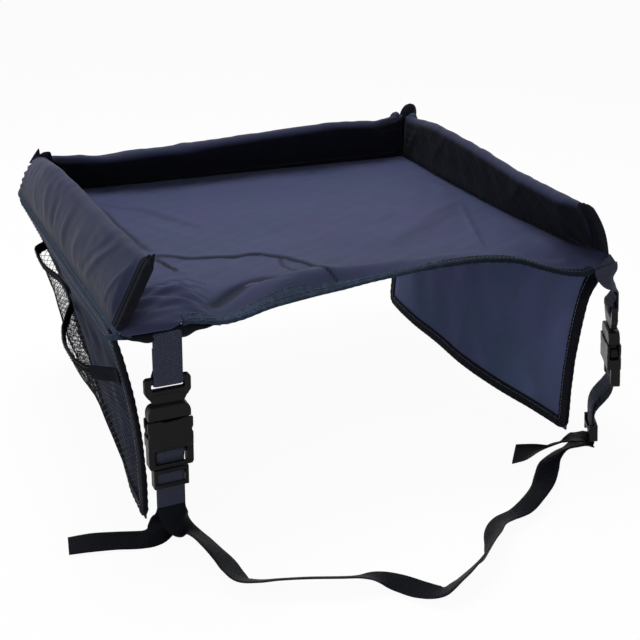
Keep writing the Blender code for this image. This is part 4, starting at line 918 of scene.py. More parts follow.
def floor_relief(x, y):
    """The cloth's folds and waves over its smooth shape, nothing under the walls' feet.

    The board's fold is a step that is high behind its line and drops in front of it.
    """
    inside = smooth_step((0.188 - np.abs(x)) / 0.020) * smooth_step((0.153 - y) / 0.020)
    relief = folds(x, y, FLOOR_FOLDS) - floor_creases(x, y)[0] * sizes().fold_height
    fold_y = soft_table(BOARD_FOLD, x, 0.004)
    slope = np.gradient(fold_y, axis=-1) / np.maximum(np.gradient(x, axis=-1), 1e-9)
    behind = (y - fold_y) / np.sqrt(1.0 + slope ** 2)
    strength = smooth_step((-0.014 - x) / 0.018) * smooth_step((x + 0.184) / 0.020)
    step = 0.0020 * np.exp(-np.maximum(behind, 0.0) / 0.012) * smooth_step((behind + 0.0030) / 0.0035)
    waves = 0.0008 * (1.0 + ripple(x, y, 7, 0.060)) + 0.0004 * (1.0 + ripple(x, y, 11, 0.018))
    fade = inside * (0.35 + 0.65 * smooth_step((y - front_edge(x)) / 0.012))
    return fade * (relief + strength * step * sizes().fold_height + waves)


def puff(x, y):
    """The rolled cloth of the left front corner: a swell across it, with level wrinkles."""
    reach = np.clip((APRON_START + 0.020 - y) / (APRON_START + 0.020 - front_edge(x)), 0.0, 1.0)
    swell = 0.0085 * np.sin(math.pi * reach ** 0.85) * corner_share(x)
    wrinkles = 0.0012 * np.sin(TURN * (y * 0.9 + x * 0.35) / 0.0105 + 3 * np.sin(x * 55.0))
    wrinkles = wrinkles + 0.0006 * np.sin(TURN * (y - x * 0.15) / 0.0062 + 2 * np.sin(x * 90.0))
    return swell + wrinkles * corner_share(x) * np.sin(math.pi * reach)


def corner_roll(x, y):
    """The cloth's turn over the left front corner's edge: a quarter of a circle as deep as it is long."""
    reach = np.clip((front_edge(x) + ROLL - y) / ROLL, 0.0, 1.0)
    share = smooth_step((BINDING_START - x) / 0.010) * smooth_step((0.1990 + x) / 0.004)
    return ROLL * share * (1.0 - np.sqrt(1.0 - reach ** 2))


def brow(x, y):
    """The ridge behind the binding left of the middle: half a sine back from the edge, a bell across."""
    back = np.clip((y - front_edge(x)) / 0.024, 0.0, 1.0)
    return 0.0050 * bell(x + 0.060, 0.038) * np.sin(math.pi * back)


def sheet_height(x, y):
    """The floor sheet's middle layer. In the left front corner it droops less, and rolls over its edge."""
    eased = droop(x, y) * (1.0 - 0.42 * corner_share(x))
    return SHEET_MIDDLE - eased + puff(x, y) - corner_roll(x, y) + brow(x, y)


def edge_line(count, first, last):
    """Points of the front edge's middle layer, and the sheet's normals there."""
    x = np.linspace(first, last, count)
    y = front_edge(x)
    height = sheet_height(x, y)
    step = 0.002
    rise = (sheet_height(x, y + step) - height) / step
    return grid(x, y, height), unit(grid(-np.gradient(height, x), -rise, 1.0))


def build_floor_sheet():
    """The nylon over the board: level behind, drooping in front, creased as it was folded and packed."""
    across = np.linspace(-HALF_WIDTH, HALF_WIDTH, 241)
    shares = np.concatenate([np.linspace(0.0, 0.05, 25), np.linspace(0.05, 0.45, 101)[1:],
                             np.linspace(0.45, 1.0, 61)[1:]])
    x = np.broadcast_to(across, (len(shares), len(across)))
    y = front_edge(across) + (BACK_EDGE - front_edge(across)) * shares[:, None]
    middle = sheet_height(x, y)
    relief = floor_relief(x, y)
    upper = grid(x, y, middle + CLOTH / 2 + relief)
    lower = grid(x, y, middle - CLOTH / 2 + relief * smooth_step((APRON_START - y) / 0.01))
    sheet = settle(add_sheet("floor_sheet", upper, lower, "floor"), "tray", "navy_nylon", "top_sheet")
    # Painted shade: dark in the creases and along the left wall's shadow, and darker towards the front and
    # left edges.
    dark = floor_creases(x, y)[1]
    painted_shade_ramp = 0.30 * np.exp(-(y - front_edge(x)) / 0.030) + 0.12 * np.exp(-(x + HALF_WIDTH) / 0.060)
    paint(sheet, "shade", np.stack([np.maximum(dark, painted_shade_ramp), np.zeros_like(dark)]))


def rounded_fold(depth, half, wall):
    """A binding's U section as (back from the edge, up): a round front, two plies and the slot between.

    The outer skin runs along one ply, half round the front and back along the other; the slot's skin
    runs inside it.
    """
    angles = np.linspace(-math.pi / 2, math.pi / 2, 13)
    lanes = np.linspace(1.0, 0.0, 5)[:-1]
    outer = [(depth * lane, -half) for lane in lanes]
    outer += [(-half * 0.7 * math.cos(angle), half * math.sin(angle)) for angle in angles]
    outer += [(depth * lane, half) for lane in lanes[::-1]]
    slot = half - wall
    inner = [(depth * lane, slot) for lane in lanes]
    inner += [(-slot * 0.35 * math.cos(angle), slot * math.sin(angle)) for angle in angles[::-2]]
    inner += [(depth * lane, -slot) for lane in lanes[::-1]]
    return np.array(outer + inner)


def build_front_binding():
    """The folded tape on the front edge, puckered between its stitches, and its two rows of stitches."""
    line, up = edge_line(281, BINDING_START + 0.0005, 0.1868)
    half = CLOTH / 2 + GAP + FRONT_TAPE
    section = rounded_fold(0.0080, half, FRONT_TAPE)
    run = run_lengths(line)
    back = grid(0.0, up[:, 2], -up[:, 1])
    crumple = 0.10 + 0.30 * np.exp(-run / 0.040)
    pucker = 1.0 + 0.10 * wave(run, PUCKER_PITCH) + crumple * ripple(run, run * 0, 3, 0.012)
    wide = (1.0 + 0.55 * bell(line[:, 0] + 0.062, 0.034))[:, None]
    rings = (line[:, None] + back[:, None] * section[None, :, :1] * wide[:, None]
             + up[:, None] * section[None, :, 1:] * pucker[:, None, None])
    binding = add_tube("front_edge_binding", rings, "binding", 60.0)
    settle(binding, "tray", "black_binding", "front_binding")
    # Painted shade: the binding darkens from the middle towards its right end, where shadow falls.
    dark = 0.85 * smooth_step((line[:, :1] + 0.02) / 0.12)
    paint(binding, "shade", np.broadcast_to(dark, rings.shape[:2]))
    for name, inset in (("front_stitches_outer", 0.0022), ("front_stitches_inner", 0.0066)):
        seam = line + back * inset * wide + up * half
        sew(name, seam, up, "soft_thread", "tray", "black_binding")


def build_corner_shade_lip():
    """A hanging lip of cloth under the rolled left front corner, deepest at its middle, black as painted
    shade.
    """
    x = np.linspace(-0.1965, -0.1250, 60)
    lanes = np.linspace(0.0, 1.0, 15)[:, None]
    share = (x - x[0]) / (x[-1] - x[0])
    top = sheet_height(x, front_edge(x)) - CLOTH / 2 - 0.0013
    deep = SHEET_MIDDLE - np.interp(share, *zip(*SHADE_LIP_DEPTHS))
    bottom = np.minimum(soft_table(list(zip(x, deep)), x, 0.004), top - 0.0006)
    curl = 0.0035 * np.sin(math.pi * lanes) + 0.0016 * np.sin(TURN * share * 5.0) * lanes
    y = front_edge(x) + 0.0018 - curl + 0.0060 * lanes ** 2
    z = top + (bottom - top) * lanes
    # The lip's black tape stands in for the shade under the roll: painted shade.
    facing = settle(add_sheet("corner_shade_lip", grid(x, y, z), grid(x, y + 0.0009, z + 0.0002), "tape"),
                    "tray", "black_binding")


def build_underside():
    """The sheet under the board and the folded hems round it, with their stitches."""
    low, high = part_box("bottom_sheet")
    x = np.linspace(low.x, high.x, 121)
    y = np.linspace(low.y + 0.0008, high.y, 101)[:, None]
    inside = smooth_step((high.x - np.abs(x)) / 0.03) * within(y, low.y, high.y, 0.03)
    dent = inside * (0.0003 + 0.00028 * ripple(x, y, 21, 0.07))
    sheet = add_sheet("under_sheet", grid(x, y, np.full_like(dent, CLOTH)), grid(x, y, dent * 0.9), "nylon")
    settle(sheet, "tray", "navy_nylon", "bottom_sheet")
    rows = np.linspace(CLOTH + 0.0001, BOARD_HIGH.z, 6)[:, None]
    bend = low.y + 0.0003 + 0.0002 * wave(x, 0.05)
    lip = add_sheet("under_sheet_lip", grid(x, bend, rows), grid(x, bend + 0.0009, rows), "nylon")
    settle(lip, "tray", "navy_nylon")
    for name, node, rolled in (("left_hem", "left_side_hem", 1), ("right_hem", "right_side_hem", 1),
                               ("rear_hem", "back_hem", 0)):
        build_hem(name, node, rolled)


def build_hem(name, node, rolled):
    """A folded seam allowance along one edge: a flattened roll with a stitch line under it."""
    low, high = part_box(node)
    low, high = np.array(low), np.array(high)
    long, short = (1, 0) if rolled else (0, 1)
    along = np.linspace(low[long], high[long], 120)
    angles = circle(28)
    half, centre = (high - low) / 2, (high + low) / 2
    wide, tall = (np.sign(round_part) * np.abs(round_part) ** 0.30 * reach for round_part, reach in
                  ((np.cos(angles), half[short]), (np.sin(angles), half[2])))
    swell = 1.0 - 0.02 * (1.0 + wave(along, PUCKER_PITCH))[:, None]
    rings = np.zeros((len(along), len(angles), 3))
    rings[..., long] = along[:, None]
    rings[..., short] = centre[short] + wide * (1.0 - 0.006 * wave(along, 0.041))[:, None]
    rings[..., 2] = centre[2] + tall * swell
    settle(add_tube(name, rings, "nylon", 60.0), "tray", "navy_nylon", node)
    seam = np.full((len(along), 3), low[2] + 0.0002)
    seam[:, long] = along
    seam[:, short] = centre[short] - math.copysign(half[short] * 0.55, centre[short])
    down = np.tile([0.0, 0.0, -1.0], (len(along), 1))
    sew(name + "_stitches", seam, down, "thread", "tray", "navy_nylon")


# Padded walls

class WallForm:
    """One padded wall: its leans along its length, its place in the tray, and its mitred ends."""

    def __init__(self, name, leans, heights, folds_table, seed):
        self.name, self.at_back = name, name == "back_wall"
        self.leans, self.heights, self.folds, self.seed = leans, heights, folds_table, seed
        self.spike = 0.25 if name == "right_wall" else 0.8

    def place(self, inward, along, up):
        """Arrays of points from distances inward, along the wall and up from its foot."""
        inward, along, up = np.broadcast_arrays(inward, along, up)
        if self.at_back:
            return np.stack([along, BACK_EDGE - inward, WALL_FOOT + up], axis=-1)
        side = -1.0 if self.name == "left_wall" else 1.0
        return np.stack([side * (HALF_WIDTH - inward), along, WALL_FOOT + up], axis=-1)

    def slump(self, share):
        """The share of its height that the wall keeps along its length, lower at the soft back corners."""
        return soft_table(self.heights, share, 0.03)[..., None]

    def ends(self, inward):
        """Where the wall starts and ends for an inward depth, so that the corners are mitred."""
        if self.at_back:
            return inward - HALF_WIDTH, HALF_WIDTH - inward
        return np.full_like(inward, FRONT_EDGE + STRIP_WIDTH + GAP), BACK_EDGE - inward

    def lean(self, share):
        """The lean in radians at shares of the length."""
        return np.radians(soft_table(self.leans, share, 0.015))

    def section(self, lean, inset=0.0, rise=0.0):
        """Rings of (inward, up) for leans: up the outer side, over the round top, down the inner side."""
        lean = np.atleast_1d(lean)[:, None]
        thick, tall = sizes().wall_thickness, sizes().wall_height
        radius, centre = thick / 2 - inset, tall - thick / 2
        side = np.linspace(0.0, 1.0, 22, endpoint=False)
        angles = np.linspace(0.0, math.pi, 21)
        foot, far_foot = inset * np.tan(lean), (thick - inset) * np.tan(lean)
        top = centre + radius * np.sin(angles) + np.asarray(rise).reshape(-1, 1) * np.sin(angles) ** 4
        slope = np.concatenate([foot + (centre - foot) * side, np.broadcast_to(top, (len(lean), 21)),
                                far_foot + (centre - far_foot) * side[::-1]], axis=1)
        across = np.concatenate([np.full(22, inset), thick / 2 - radius * np.cos(angles),
                                 np.full(22, thick - inset)])
        return (slope * np.sin(lean) + across * np.cos(lean), slope * np.cos(lean) - across * np.sin(lean),
                slope, across)


WALL_FORMS = (
    WallForm("left_wall", LEFT_LEANS, LEFT_HEIGHTS, LEFT_WALL_FOLDS, 31),
    WallForm("right_wall", RIGHT_LEANS, RIGHT_HEIGHTS, RIGHT_WALL_FOLDS, 41),
    WallForm("back_wall", BACK_LEANS, BACK_HEIGHTS, BACK_WALL_FOLDS, 51),
)


def build_wall(form):
    """One padded wall: a foam strip sewn into nylon.

    Its section runs round a foot, two sides and a round top, and is carried along the wall while it
    leans. The sides crown outward by a sine up their height, pull in at the stitched foot and ends, and
    take the folds of the drawn table, and gathers fan out from each mitred corner.
    """
    share = np.linspace(0.0, 1.0, 200)
    inward, up, slope, across = form.section(form.lean(share))
    up = up * form.slump(share)
    if not form.at_back:
        pinch = 1.0 - 0.40 * (1.0 - smooth_step(share * (BACK_EDGE - FRONT_EDGE) / 0.030))[:, None]
        lean = form.lean(share)[:, None]
        inward = inward - across * np.cos(lean) * (1.0 - pinch)
        up = up + across * np.sin(lean) * (1.0 - pinch)
    first, last = form.ends(inward)
    tape = CORNER_GAP + CORNER_TAPE + GAP * 1.42
    first = first + (tape if form.at_back else 0.0)
    last = last - tape
    along = first + (last - first) * share[:, None]
    points = form.place(inward, along, up)
    normals = grid_normals(points)
    outward = points - points.mean(axis=1, keepdims=True)
    normals *= np.sign(np.einsum("rck,rck->rc", normals, outward))[..., None]
    thick, height = sizes().wall_thickness, slope / sizes().wall_height
    from_start, from_end = along - first, last - along
    held = smooth_step(height / 0.16) * smooth_step(from_start / 0.006) * smooth_step(from_end / 0.006)
    outside = smooth_step((thick / 2 - across) / 0.003)
    crown = (0.0011 + 0.0030 * outside) * np.sin(math.pi * np.clip(height * 1.02, 0.0, 1.0))
    uneven = (0.0005 * ripple(along, slope, form.seed, 0.045)
              + 0.00025 * ripple(along, slope, form.seed + 1, 0.013))
    drawn = folds(along, slope, form.folds) * (outside if form.name == "left_wall" else 1.0)
    corner = np.exp(-from_end / 0.016) + (np.exp(-from_start / 0.016) if form.at_back else 0.0)
    fan = corner * 0.0011 * np.sin(TURN * slope / 0.0085 + 1.3)
    gathers = 0.00025 * wave(along, 0.0075) * np.exp(-slope / 0.008)
    points = points + normals * ((crown + uneven + drawn + fan + gathers) * held)[..., None]
    if form.name == "right_wall":
        sag = 0.0075 * np.sin(math.pi * share[:, None]) * bell(slope - 0.004, 0.014) * (1.0 - outside)
        points[..., 0] -= sag * held
    pad = add_tube(form.name + "_pad", points, "wall", 60.0)
    # Painted shade: the inner faces darken below the round top, and the outer face darkens towards its foot.
    painted_shade_ramp = 0.42 * outside * (1.0 - smooth_step(height / 0.60))
    inner_side = smooth_step((across - thick * 0.60) / (thick * 0.34))
    paint(pad, "shade", inner_side * smooth_step((0.99 - height) / 0.10) + painted_shade_ramp)
    settle(pad, form.name, "navy_nylon", form.name + "_cover", form.name + "_foam")
    build_foot_stitches(form)


def build_foot_stitches(form):
    """The stitches that hold a wall's cover to the floor, along its inner foot."""
    share = np.linspace(0.02, 0.98, 160)
    inward, up = (part[:, -4] for part in form.section(form.lean(share))[:2])
    first, last = form.ends(inward)
    along = first + (last - first) * share
    line = form.place(inward + 0.0008, along, up)
    outs = form.place(inward + 1.0, along, up) - form.place(inward, along, up)
    sew(form.name + "_foot_stitches", line, unit(outs), "dark_thread", form.name, "navy_nylon")


def build_piping(name, side):
    """The welt along a wall's outer foot: a flattened roll, slightly uneven along its length.

    Side -1 or 1 is a side wall's, and 0 is the back wall's.
    """
    low, high = (FRONT_EDGE, BACK_EDGE) if side else (-HALF_WIDTH, HALF_WIDTH)
    along = np.linspace(low + 0.0005, high - 0.0005, 160)
    angles = circle(14)
    swell = 1.0 + 0.06 * ripple(along, along * 0, 13, 0.020)
    rings = np.zeros((len(along), len(angles), 3))
    middle = side * (HALF_WIDTH - PIPING_INSET) if side else BACK_EDGE - PIPING_INSET
    rings[..., 1 - abs(side)] = middle + PIPING_RADIUS * np.cos(angles) * swell[:, None]
    rings[..., abs(side)] = along[:, None]
    rings[..., 2] = (WALL_FOOT + PIPING_FOOT + (WALL_FOOT - 0.0002 - PIPING_FOOT) * np.sin(angles)) / 2
    settle(add_tube(name, rings, "binding", 60.0), "tray", "black_binding")


def build_front_strip(form):
    """The doubled black band that closes a side wall's front end.

    The wall's section is carried across the band's width. It narrows in the two grooves and rises to a spike
    on each band.
    """
    share = np.linspace(0.0, 1.0, 41)
    groove = 0.0013 * (bell(share - 0.02, 0.06) + bell(share - 0.50, 0.05) + 0.5 * bell(share - 0.985, 0.05))
    spike = STRIP_SPIKE * form.spike * (bell(share - 0.25, 0.075) + 0.5 * bell(share - 0.75, 0.075))
    lean = np.full(len(share), form.lean(np.array([0.0]))[0])
    inward, up = [], []
    for index in range(len(share)):
        ring = form.section(lean[index:index + 1], groove[index], spike[index:index + 1])
        inward.append(ring[0][0])
        up.append(ring[1][0])
    inward, up = np.array(inward), np.array(up)
    across = form.section(lean[:1])[3] * 0.40
    inward, up = inward - across * math.cos(lean[0]), up + across * math.sin(lean[0])
    if form.name == "right_wall":
        inward = inward - 0.0042 * np.sin(math.pi * np.clip(up / (sizes().wall_height * 0.92), 0.0, 1.0))
    along = FRONT_EDGE + STRIP_WIDTH * share[:, None]
    points = form.place(inward, along, up)
    settle(add_tube(form.name + "_end_band", points, "tape", 50.0),
           form.name, "black_binding", form.name + "_front_strip")


def build_corner_tape(form, name, at_start, node):
    """A tape over a mitred corner: the wall's section, a tape's width along it, drawn up into a tip."""
    lean = form.lean(np.array([0.0 if at_start else 1.0]))
    share = np.linspace(0.0, 1.0, 9)
    rings = []
    for place in share:
        round_edge = 0.0005 * (2 * place - 1) ** 4
        inward, up, slope, _ = form.section(lean, round_edge, np.array([CORNER_TIP]))
        first, last = form.ends(inward)
        set_in = CORNER_GAP + CORNER_TAPE * place
        along = first + set_in if at_start else last - set_in
        bumps = 0.00025 * wave(slope, 0.009)
        kept = form.slump(np.array([0.0 if at_start else 1.0]))
        rings.append(form.place(inward + bumps * 0.5, along, (up + np.abs(bumps)) * kept)[0])
    settle(add_tube(name, np.array(rings), "tape", 50.0), form.name, "black_binding", node)


def build_ear(name, body, low, high, half, point, finish):
    """Cloth or tape bunched up at a corner: rings from low to high that shrink to the point's power."""
    share = np.linspace(0.0, 1.0, 15)
    angles = circle(20)
    low, high = np.array(low), np.array(high)
    radius = np.maximum(1.0 - share ** point[0], 0.0) ** point[1] + 0.02
    lumps = 1.0 + 0.10 * np.sin(3 * angles + 0.7) + 0.05 * np.sin(5 * angles)
    rings = low + (high - low) * share[:, None, None] + np.zeros((1, len(angles), 1))
    rings[..., 0] += half[0] * np.cos(angles) * lumps * radius[:, None]
    rings[..., 1] += half[1] * np.sin(angles) * lumps * radius[:, None]
    settle(add_tube(name, rings, finish, 50.0), body, "navy_nylon" if finish == "wall" else "black_binding")


def build_corner_details():
    """The bunched corners: a pointed ear at the back left, a cap between two puffs at the back right."""
    for bunch in CORNER_BUNCHES:
        build_ear(*bunch)


def build_corner_tack():
    """The short bar of tape sewn across the left front corner, and the patch over the right one's edge."""
    share, angles = np.linspace(-1.0, 1.0, 13)[:, None], circle(16)
    round_end = np.sqrt(np.maximum(1.0 - share ** 8, 0.05))
    rings = grid(-0.1985 + 0.0085 * share,
                 FRONT_EDGE + 0.0040 + 0.0016 * np.cos(angles) * round_end - 0.0030 * share,
                 -0.0008 + 0.0022 * np.sin(angles) * round_end)
    settle(add_tube("left_corner_tack", rings, "binding", 50.0), "tray", "black_binding")
    across, down = np.linspace(0.0, 1.0, 24), np.linspace(0.0, 1.0, 14)[:, None]
    corners = np.array([(0.1865, FRONT_EDGE - 0.0004, -0.0055), (0.2005, FRONT_EDGE - 0.0002, 0.0052),
                        (0.1965, FRONT_EDGE - 0.0022, -0.0115), (0.2065, FRONT_EDGE - 0.0012, -0.0020)])
    top = corners[0] + (corners[1] - corners[0]) * across[None, :, None]
    foot = corners[2] + (corners[3] - corners[2]) * across[None, :, None]
    outer = top + (foot - top) * down[..., None]
    belly = (np.sin(math.pi * across) * np.sin(math.pi * down))[..., None]
    outer = outer - np.array([0.0, 0.0012, 0.0]) * belly
    patch = add_sheet("right_corner_patch", outer, outer + np.array([0.0, 0.0009, 0.0]), "webbing")
    settle(patch, "tray", "navy_nylon")


# Flaps

class FlapForm:
    """One hanging flap: down from its hinge, along Y, and out from the tray.

    It has its distance from the tray's front, its lean in degrees, its tables, and its two bags' fullness.
    """

    def __init__(self, prefix, side, set_back, lean, feet, hem, bellies):
        self.prefix, self.body, self.side = prefix, prefix + "_flap", side
        self.front, self.back = FRONT_EDGE + set_back, BACK_EDGE - 0.005
        self.lean, self.feet, self.hem, self.bellies = math.radians(lean), feet, hem, bellies
        self.pocket_front = self.front + FLAP_LIP + GAP
        self.pocket_back = self.back - FLAP_LIP - GAP
        self.pocket_foot = FLAP_DROP - FLAP_LIP - GAP

    def share(self, along):
        """The share of the flap's length, 0 at its front edge."""
        return (along - self.front) / (self.back - self.front)

    def stand(self, down, along):
        """How far the cloth stands out from the flap's plane.

        The table of its foot is scaled by the drop: in a straight line at the front, and by one less the
        square of what is left of the drop at the back, where the cloth swings in early.
        """
        length = self.share(along)
        drop = np.clip(down / FLAP_DROP, 0.0, 1.0)
        early = smooth_step((length - 0.3) / 0.4) if self.side < 0 else 0.0
        belly = -0.0060 * np.sin(math.pi * drop) * (1.0 - smooth_step(length / 0.4))
        sway = 0.0015 * wave(length, 0.5) * smooth_step(drop)
        flare = 0.0080 * bell(length, 0.035) * bell(drop - 0.07, 0.09) * smooth_step(drop / 0.07)
        swing = soft_table(self.feet, length, 0.03) * (drop + drop * (1.0 - drop) * early)
        return swing + belly + sway + flare * (self.side > 0)

    def creases(self, down, along):
        """Soft vertical folds that hang from the seam, and a slight unevenness; still at the binding."""
        inner = (within(along, self.front, self.back, 0.02) * smooth_step((FLAP_DROP - down) / 0.02)
                 * smooth_step(down / 0.010) * smooth_step((down - SEAM_TAPE) / 0.030))
        hang = 0.0014 * np.sin(TURN * (along + 0.10 * down) / 0.046 + 1.1) * bell(down - 0.06, 0.07)
        uneven = (0.0009 * ripple(along, down, 61 + self.side, 0.05)
                  + 0.0003 * ripple(along, down, 71 + self.side, 0.016))
        return inner * (hang + uneven) * sizes().fold_height

    def relief(self, down, along):
        """The creases, held down where the pocket lies on the cloth."""
        return np.minimum(self.creases(down, along), 0.0002 + 0.8 * self.bulge(down, along))

    def place(self, down, along, out):
        """Points for arrays of places on the cloth."""
        down, along, out = np.broadcast_arrays(down, along, out)
        total = out + self.stand(down, along)
        inward = down * math.sin(self.lean) - total * math.cos(self.lean)
        sink = down * math.cos(self.lean) + total * math.sin(self.lean)
        hinge = self.side * (HALF_WIDTH - FLAP_HINGE_INSET)
        return np.stack([hinge - self.side * inward, along, -FLAP_HINGE_DROP - sink], axis=-1)

    def out(self, down, along):
        """The unit direction out from the cloth."""
        return unit(self.place(down, along, 1.0) - self.place(down, along, 0.0))

    def bulge(self, down, along):
        """How far the pocket stands off the cloth.

        At its hem it follows a table. Lower down it is two bags with the divider's seam between, and it
        closes towards its foot as a cosine of the depth cubed.
        """
        middle = (self.pocket_front + self.pocket_back) / 2
        before = along < middle
        start = np.where(before, self.pocket_front, middle)
        end = np.where(before, middle, self.pocket_back)
        depth = np.clip((down - POCKET_TOP) / (self.pocket_foot - POCKET_TOP), 0.0, 1.0)
        full = np.where(before, self.bellies[0] * (1.0 - 0.7 * depth), self.bellies[1])
        bags = full * np.sin(math.pi * np.clip((along - start) / (end - start), 0.0, 1.0)) ** 0.8
        hem = np.maximum(soft_table(self.hem, self.share(along), 0.012), 0.0)
        hem = hem * within(along, self.pocket_front, self.pocket_back, 0.008)
        lower = smooth_step(depth / 0.55)
        return (hem + (bags - hem) * lower) * np.cos(0.5 * math.pi * depth ** 3) ** 0.7

    def lay(self, name, down, along, upper, lower, finish, slot, *nodes):
        """A closed sheet between two levels over the cloth."""
        skins = [self.place(down, along, level) for level in (upper, lower)]
        return settle(add_sheet(f"{self.prefix}_{name}", *skins, finish), self.body, slot, *nodes)

    def sew(self, name, down, along, level, thread, slot, face=1.0):
        """Stitches along a line on the cloth, on its outer face, or on its inner one for a face of -1."""
        line, outs = self.place(down, along, level), self.out(down, along) * face
        sew(f"{self.prefix}_{name}", line, outs, thread, self.body, slot)


FLAP_FORMS = (
    FlapForm("left", -1, 0.0220, 8.0, LEFT_FLAP_FEET, LEFT_HEM_STANDS, (0.015, 0.014)),
    FlapForm("right", 1, 0.0115, 3.0, RIGHT_FLAP_FEET, RIGHT_HEM_STANDS, (0.014, 0.010)),
)


def build_flap_panel(flap):
    """The hanging nylon panel, a closed sheet of the cloth's thickness."""
    downs = np.concatenate([[-FLAP_HEAD, -FLAP_HEAD / 2], np.linspace(0.0, FLAP_DROP, 91)])
    alongs = np.linspace(flap.front, flap.back, 151)
    down, along = np.meshgrid(downs, alongs, indexing="ij")
    relief = flap.relief(down, along)
    panel = flap.lay("panel", down, along, relief + CLOTH / 2, relief - CLOTH / 2, flap.body, "navy_nylon",
                     flap.prefix + "_flap_panel")


def build_seam_tape(flap):
    """The tape over a flap's seam, on its outer face, with its two rows of stitches."""
    lanes = np.linspace(-FLAP_HEAD, SEAM_TAPE, 12)[:, None]
    at = np.linspace(flap.front, flap.back, 200)
    down, along = np.broadcast_arrays(lanes, at)
    pucker = 0.0002 * wave(along, PUCKER_PITCH) * np.sin(math.pi * np.clip(lanes / SEAM_TAPE, 0.0, 1.0))
    level = flap.relief(down, along) + CLOTH / 2 + 0.0006
    tape = flap.lay("seam_tape", down, along, level + 0.0006 + pucker, level, "binding", "black_binding")
    level = level + 0.0008
    for name, row in (("high", 3), ("low", 10)):
        flap.sew("seam_stitches_" + name, down[row], along[row], level[row], "thread", "black_binding")


def flap_rim(flap):
    """The panel's three free edges as (down, along, outward down, outward along), round its corners."""
    turns = np.linspace(0.0, math.pi / 2, 12)
    sine, cosine = np.sin(turns), np.cos(turns)
    low, first, last = FLAP_DROP - FLAP_CORNER, flap.front + FLAP_CORNER, flap.back - FLAP_CORNER
    downs = np.linspace(0.0, low, 70)
    rows = ((downs, flap.front, 0, -1),
            (low + FLAP_CORNER * sine, first - FLAP_CORNER * cosine, sine, -cosine),
            (FLAP_DROP, np.linspace(first, last, 130), 1, 0),
            (low + FLAP_CORNER * cosine, last + FLAP_CORNER * sine, cosine, sine),
            (downs[::-1], flap.back, 0, 1))
    rows = [np.stack(np.broadcast_arrays(*row), axis=-1) for row in rows]
    return np.concatenate([rows[0]] + [row[1:] for row in rows[1:]])


def build_flap_binding(flap):
    """The tape folded over the flap's free edges, puckered between the stitches on both its faces."""
    rim = flap_rim(flap)
    section = rounded_fold(FLAP_LIP + 0.0005, CLOTH / 2 + GAP + 0.0011, 0.0010)
    run = run_lengths(rim[:, :2])
    pucker = 1.0 + 0.12 * wave(run, 0.0070) + 0.12 * ripple(run, run * 0, 81 + flap.side, 0.035)
    back = section[:, 0][None, :]
    down = rim[:, 0:1] - rim[:, 2:3] * back
    along = rim[:, 1:2] - rim[:, 3:4] * back
    rings = flap.place(down, along, section[:, 1][None, :] * pucker[:, None])
    binding = add_tube(flap.prefix + "_binding", rings, "tape", 60.0)
    settle(binding, flap.body, "black_binding", flap.prefix + "_flap_binding")
    down, along = (rim[:, :2] - rim[:, 2:] * FLAP_STITCH_INSET).T
    level = CLOTH / 2 + GAP + 0.0012
    for name, face in (("outer", 1.0), ("inner", -1.0)):
        flap.sew("stitches_" + name, down, along, face * level, "thread", "black_binding", face)


def build_net(flap):
    """The pocket's open net: zigzag strands side by side that meet at their peaks and leave meshes between.

    Each strand runs along the flap. Its height is a triangle wave of the pitch, and every second strand
    is half a wave further on.
    """
    pitch = sizes().net_pitch
    low, foot = POCKET_TOP + ELASTIC_WIDTH - 0.001, flap.pocket_foot + 0.0015
    strands = int((foot - low) / (pitch / 2))
    waves = int((flap.pocket_back - flap.pocket_front) / (pitch * NET_STRETCH))
    at = np.linspace(flap.pocket_front, flap.pocket_back, 2 * waves + 1)
    rows = low + (np.arange(strands) + 0.5) * (foot - low) / strands
    zigzag = (np.arange(2 * waves + 1)[None, :] + np.arange(strands)[:, None]) % 2 * 2.0 - 1.0
    down = rows[:, None] + zigzag * (foot - low) / strands / 2
    along = np.broadcast_to(at, down.shape)
    slack = 0.0006 * ripple(along, down, 91 + flap.side, 0.03)
    level = NET_LEVEL + sizes().net_strand + flap.bulge(down, along) * (1.0 + 0.05 * slack / 0.0006)
    centres = flap.place(down, along, level)
    net = add_strands(flap.prefix + "_net", centres, flap.out(down, along), sizes().net_strand, 0.8,
                      "net")
    settle(net, flap.body, "black_mesh", flap.prefix + "_pocket_mesh")


def build_elastic(flap):
    """The net's gathered elastic hem: a flat band with a rolled edge, waved by its gathers."""
    at = np.linspace(flap.pocket_front, flap.pocket_back, 260)
    lanes = np.linspace(0.0, 1.0, 11)[:, None]
    down = POCKET_TOP + ELASTIC_WIDTH * lanes + 0 * at
    along = at + 0 * down
    gather = 0.0005 * np.sin(TURN * along / 0.0048 + 2.0 * lanes)
    dome = 0.0004 * np.sin(math.pi * lanes)
    base = NET_LEVEL + flap.bulge(down, along)
    lower = base + 0.0001 + np.maximum(gather, -0.0001) * 0.6
    flap.lay("elastic", down, along, base + 0.0012 + gather * 0.6 + dome, lower, "elastic", "black_elastic",
             flap.prefix + "_pocket_elastic")
    level = base + 0.0014 + gather * 0.6 + dome
    for name, row in (("high", 2), ("low", 7)):
        flap.sew("elastic_stitches_" + name, down[row], along[row], level[row], "dark_thread",
                 "black_elastic")


def build_tab(flap):
    """The tab folded over the elastic's front end."""
    length, width = TAB_FLAT
    at = np.linspace(flap.pocket_front, flap.pocket_front + length, 30)
    lanes = np.linspace(-1.0, 1.0, 15)[:, None]
    middle = POCKET_TOP + ELASTIC_WIDTH / 2
    down = middle + lanes * width / 2 + 0 * at
    along = at + 0 * down
    base = NET_LEVEL + 0.0018 + flap.bulge(down, along)
    dome = 0.0005 * (1.0 - lanes ** 4)
    tab = flap.lay("tab", down, along, base + 0.0009 + dome, base + 0.0001, "tape", "black_elastic",
                   flap.prefix + "_elastic_tab")


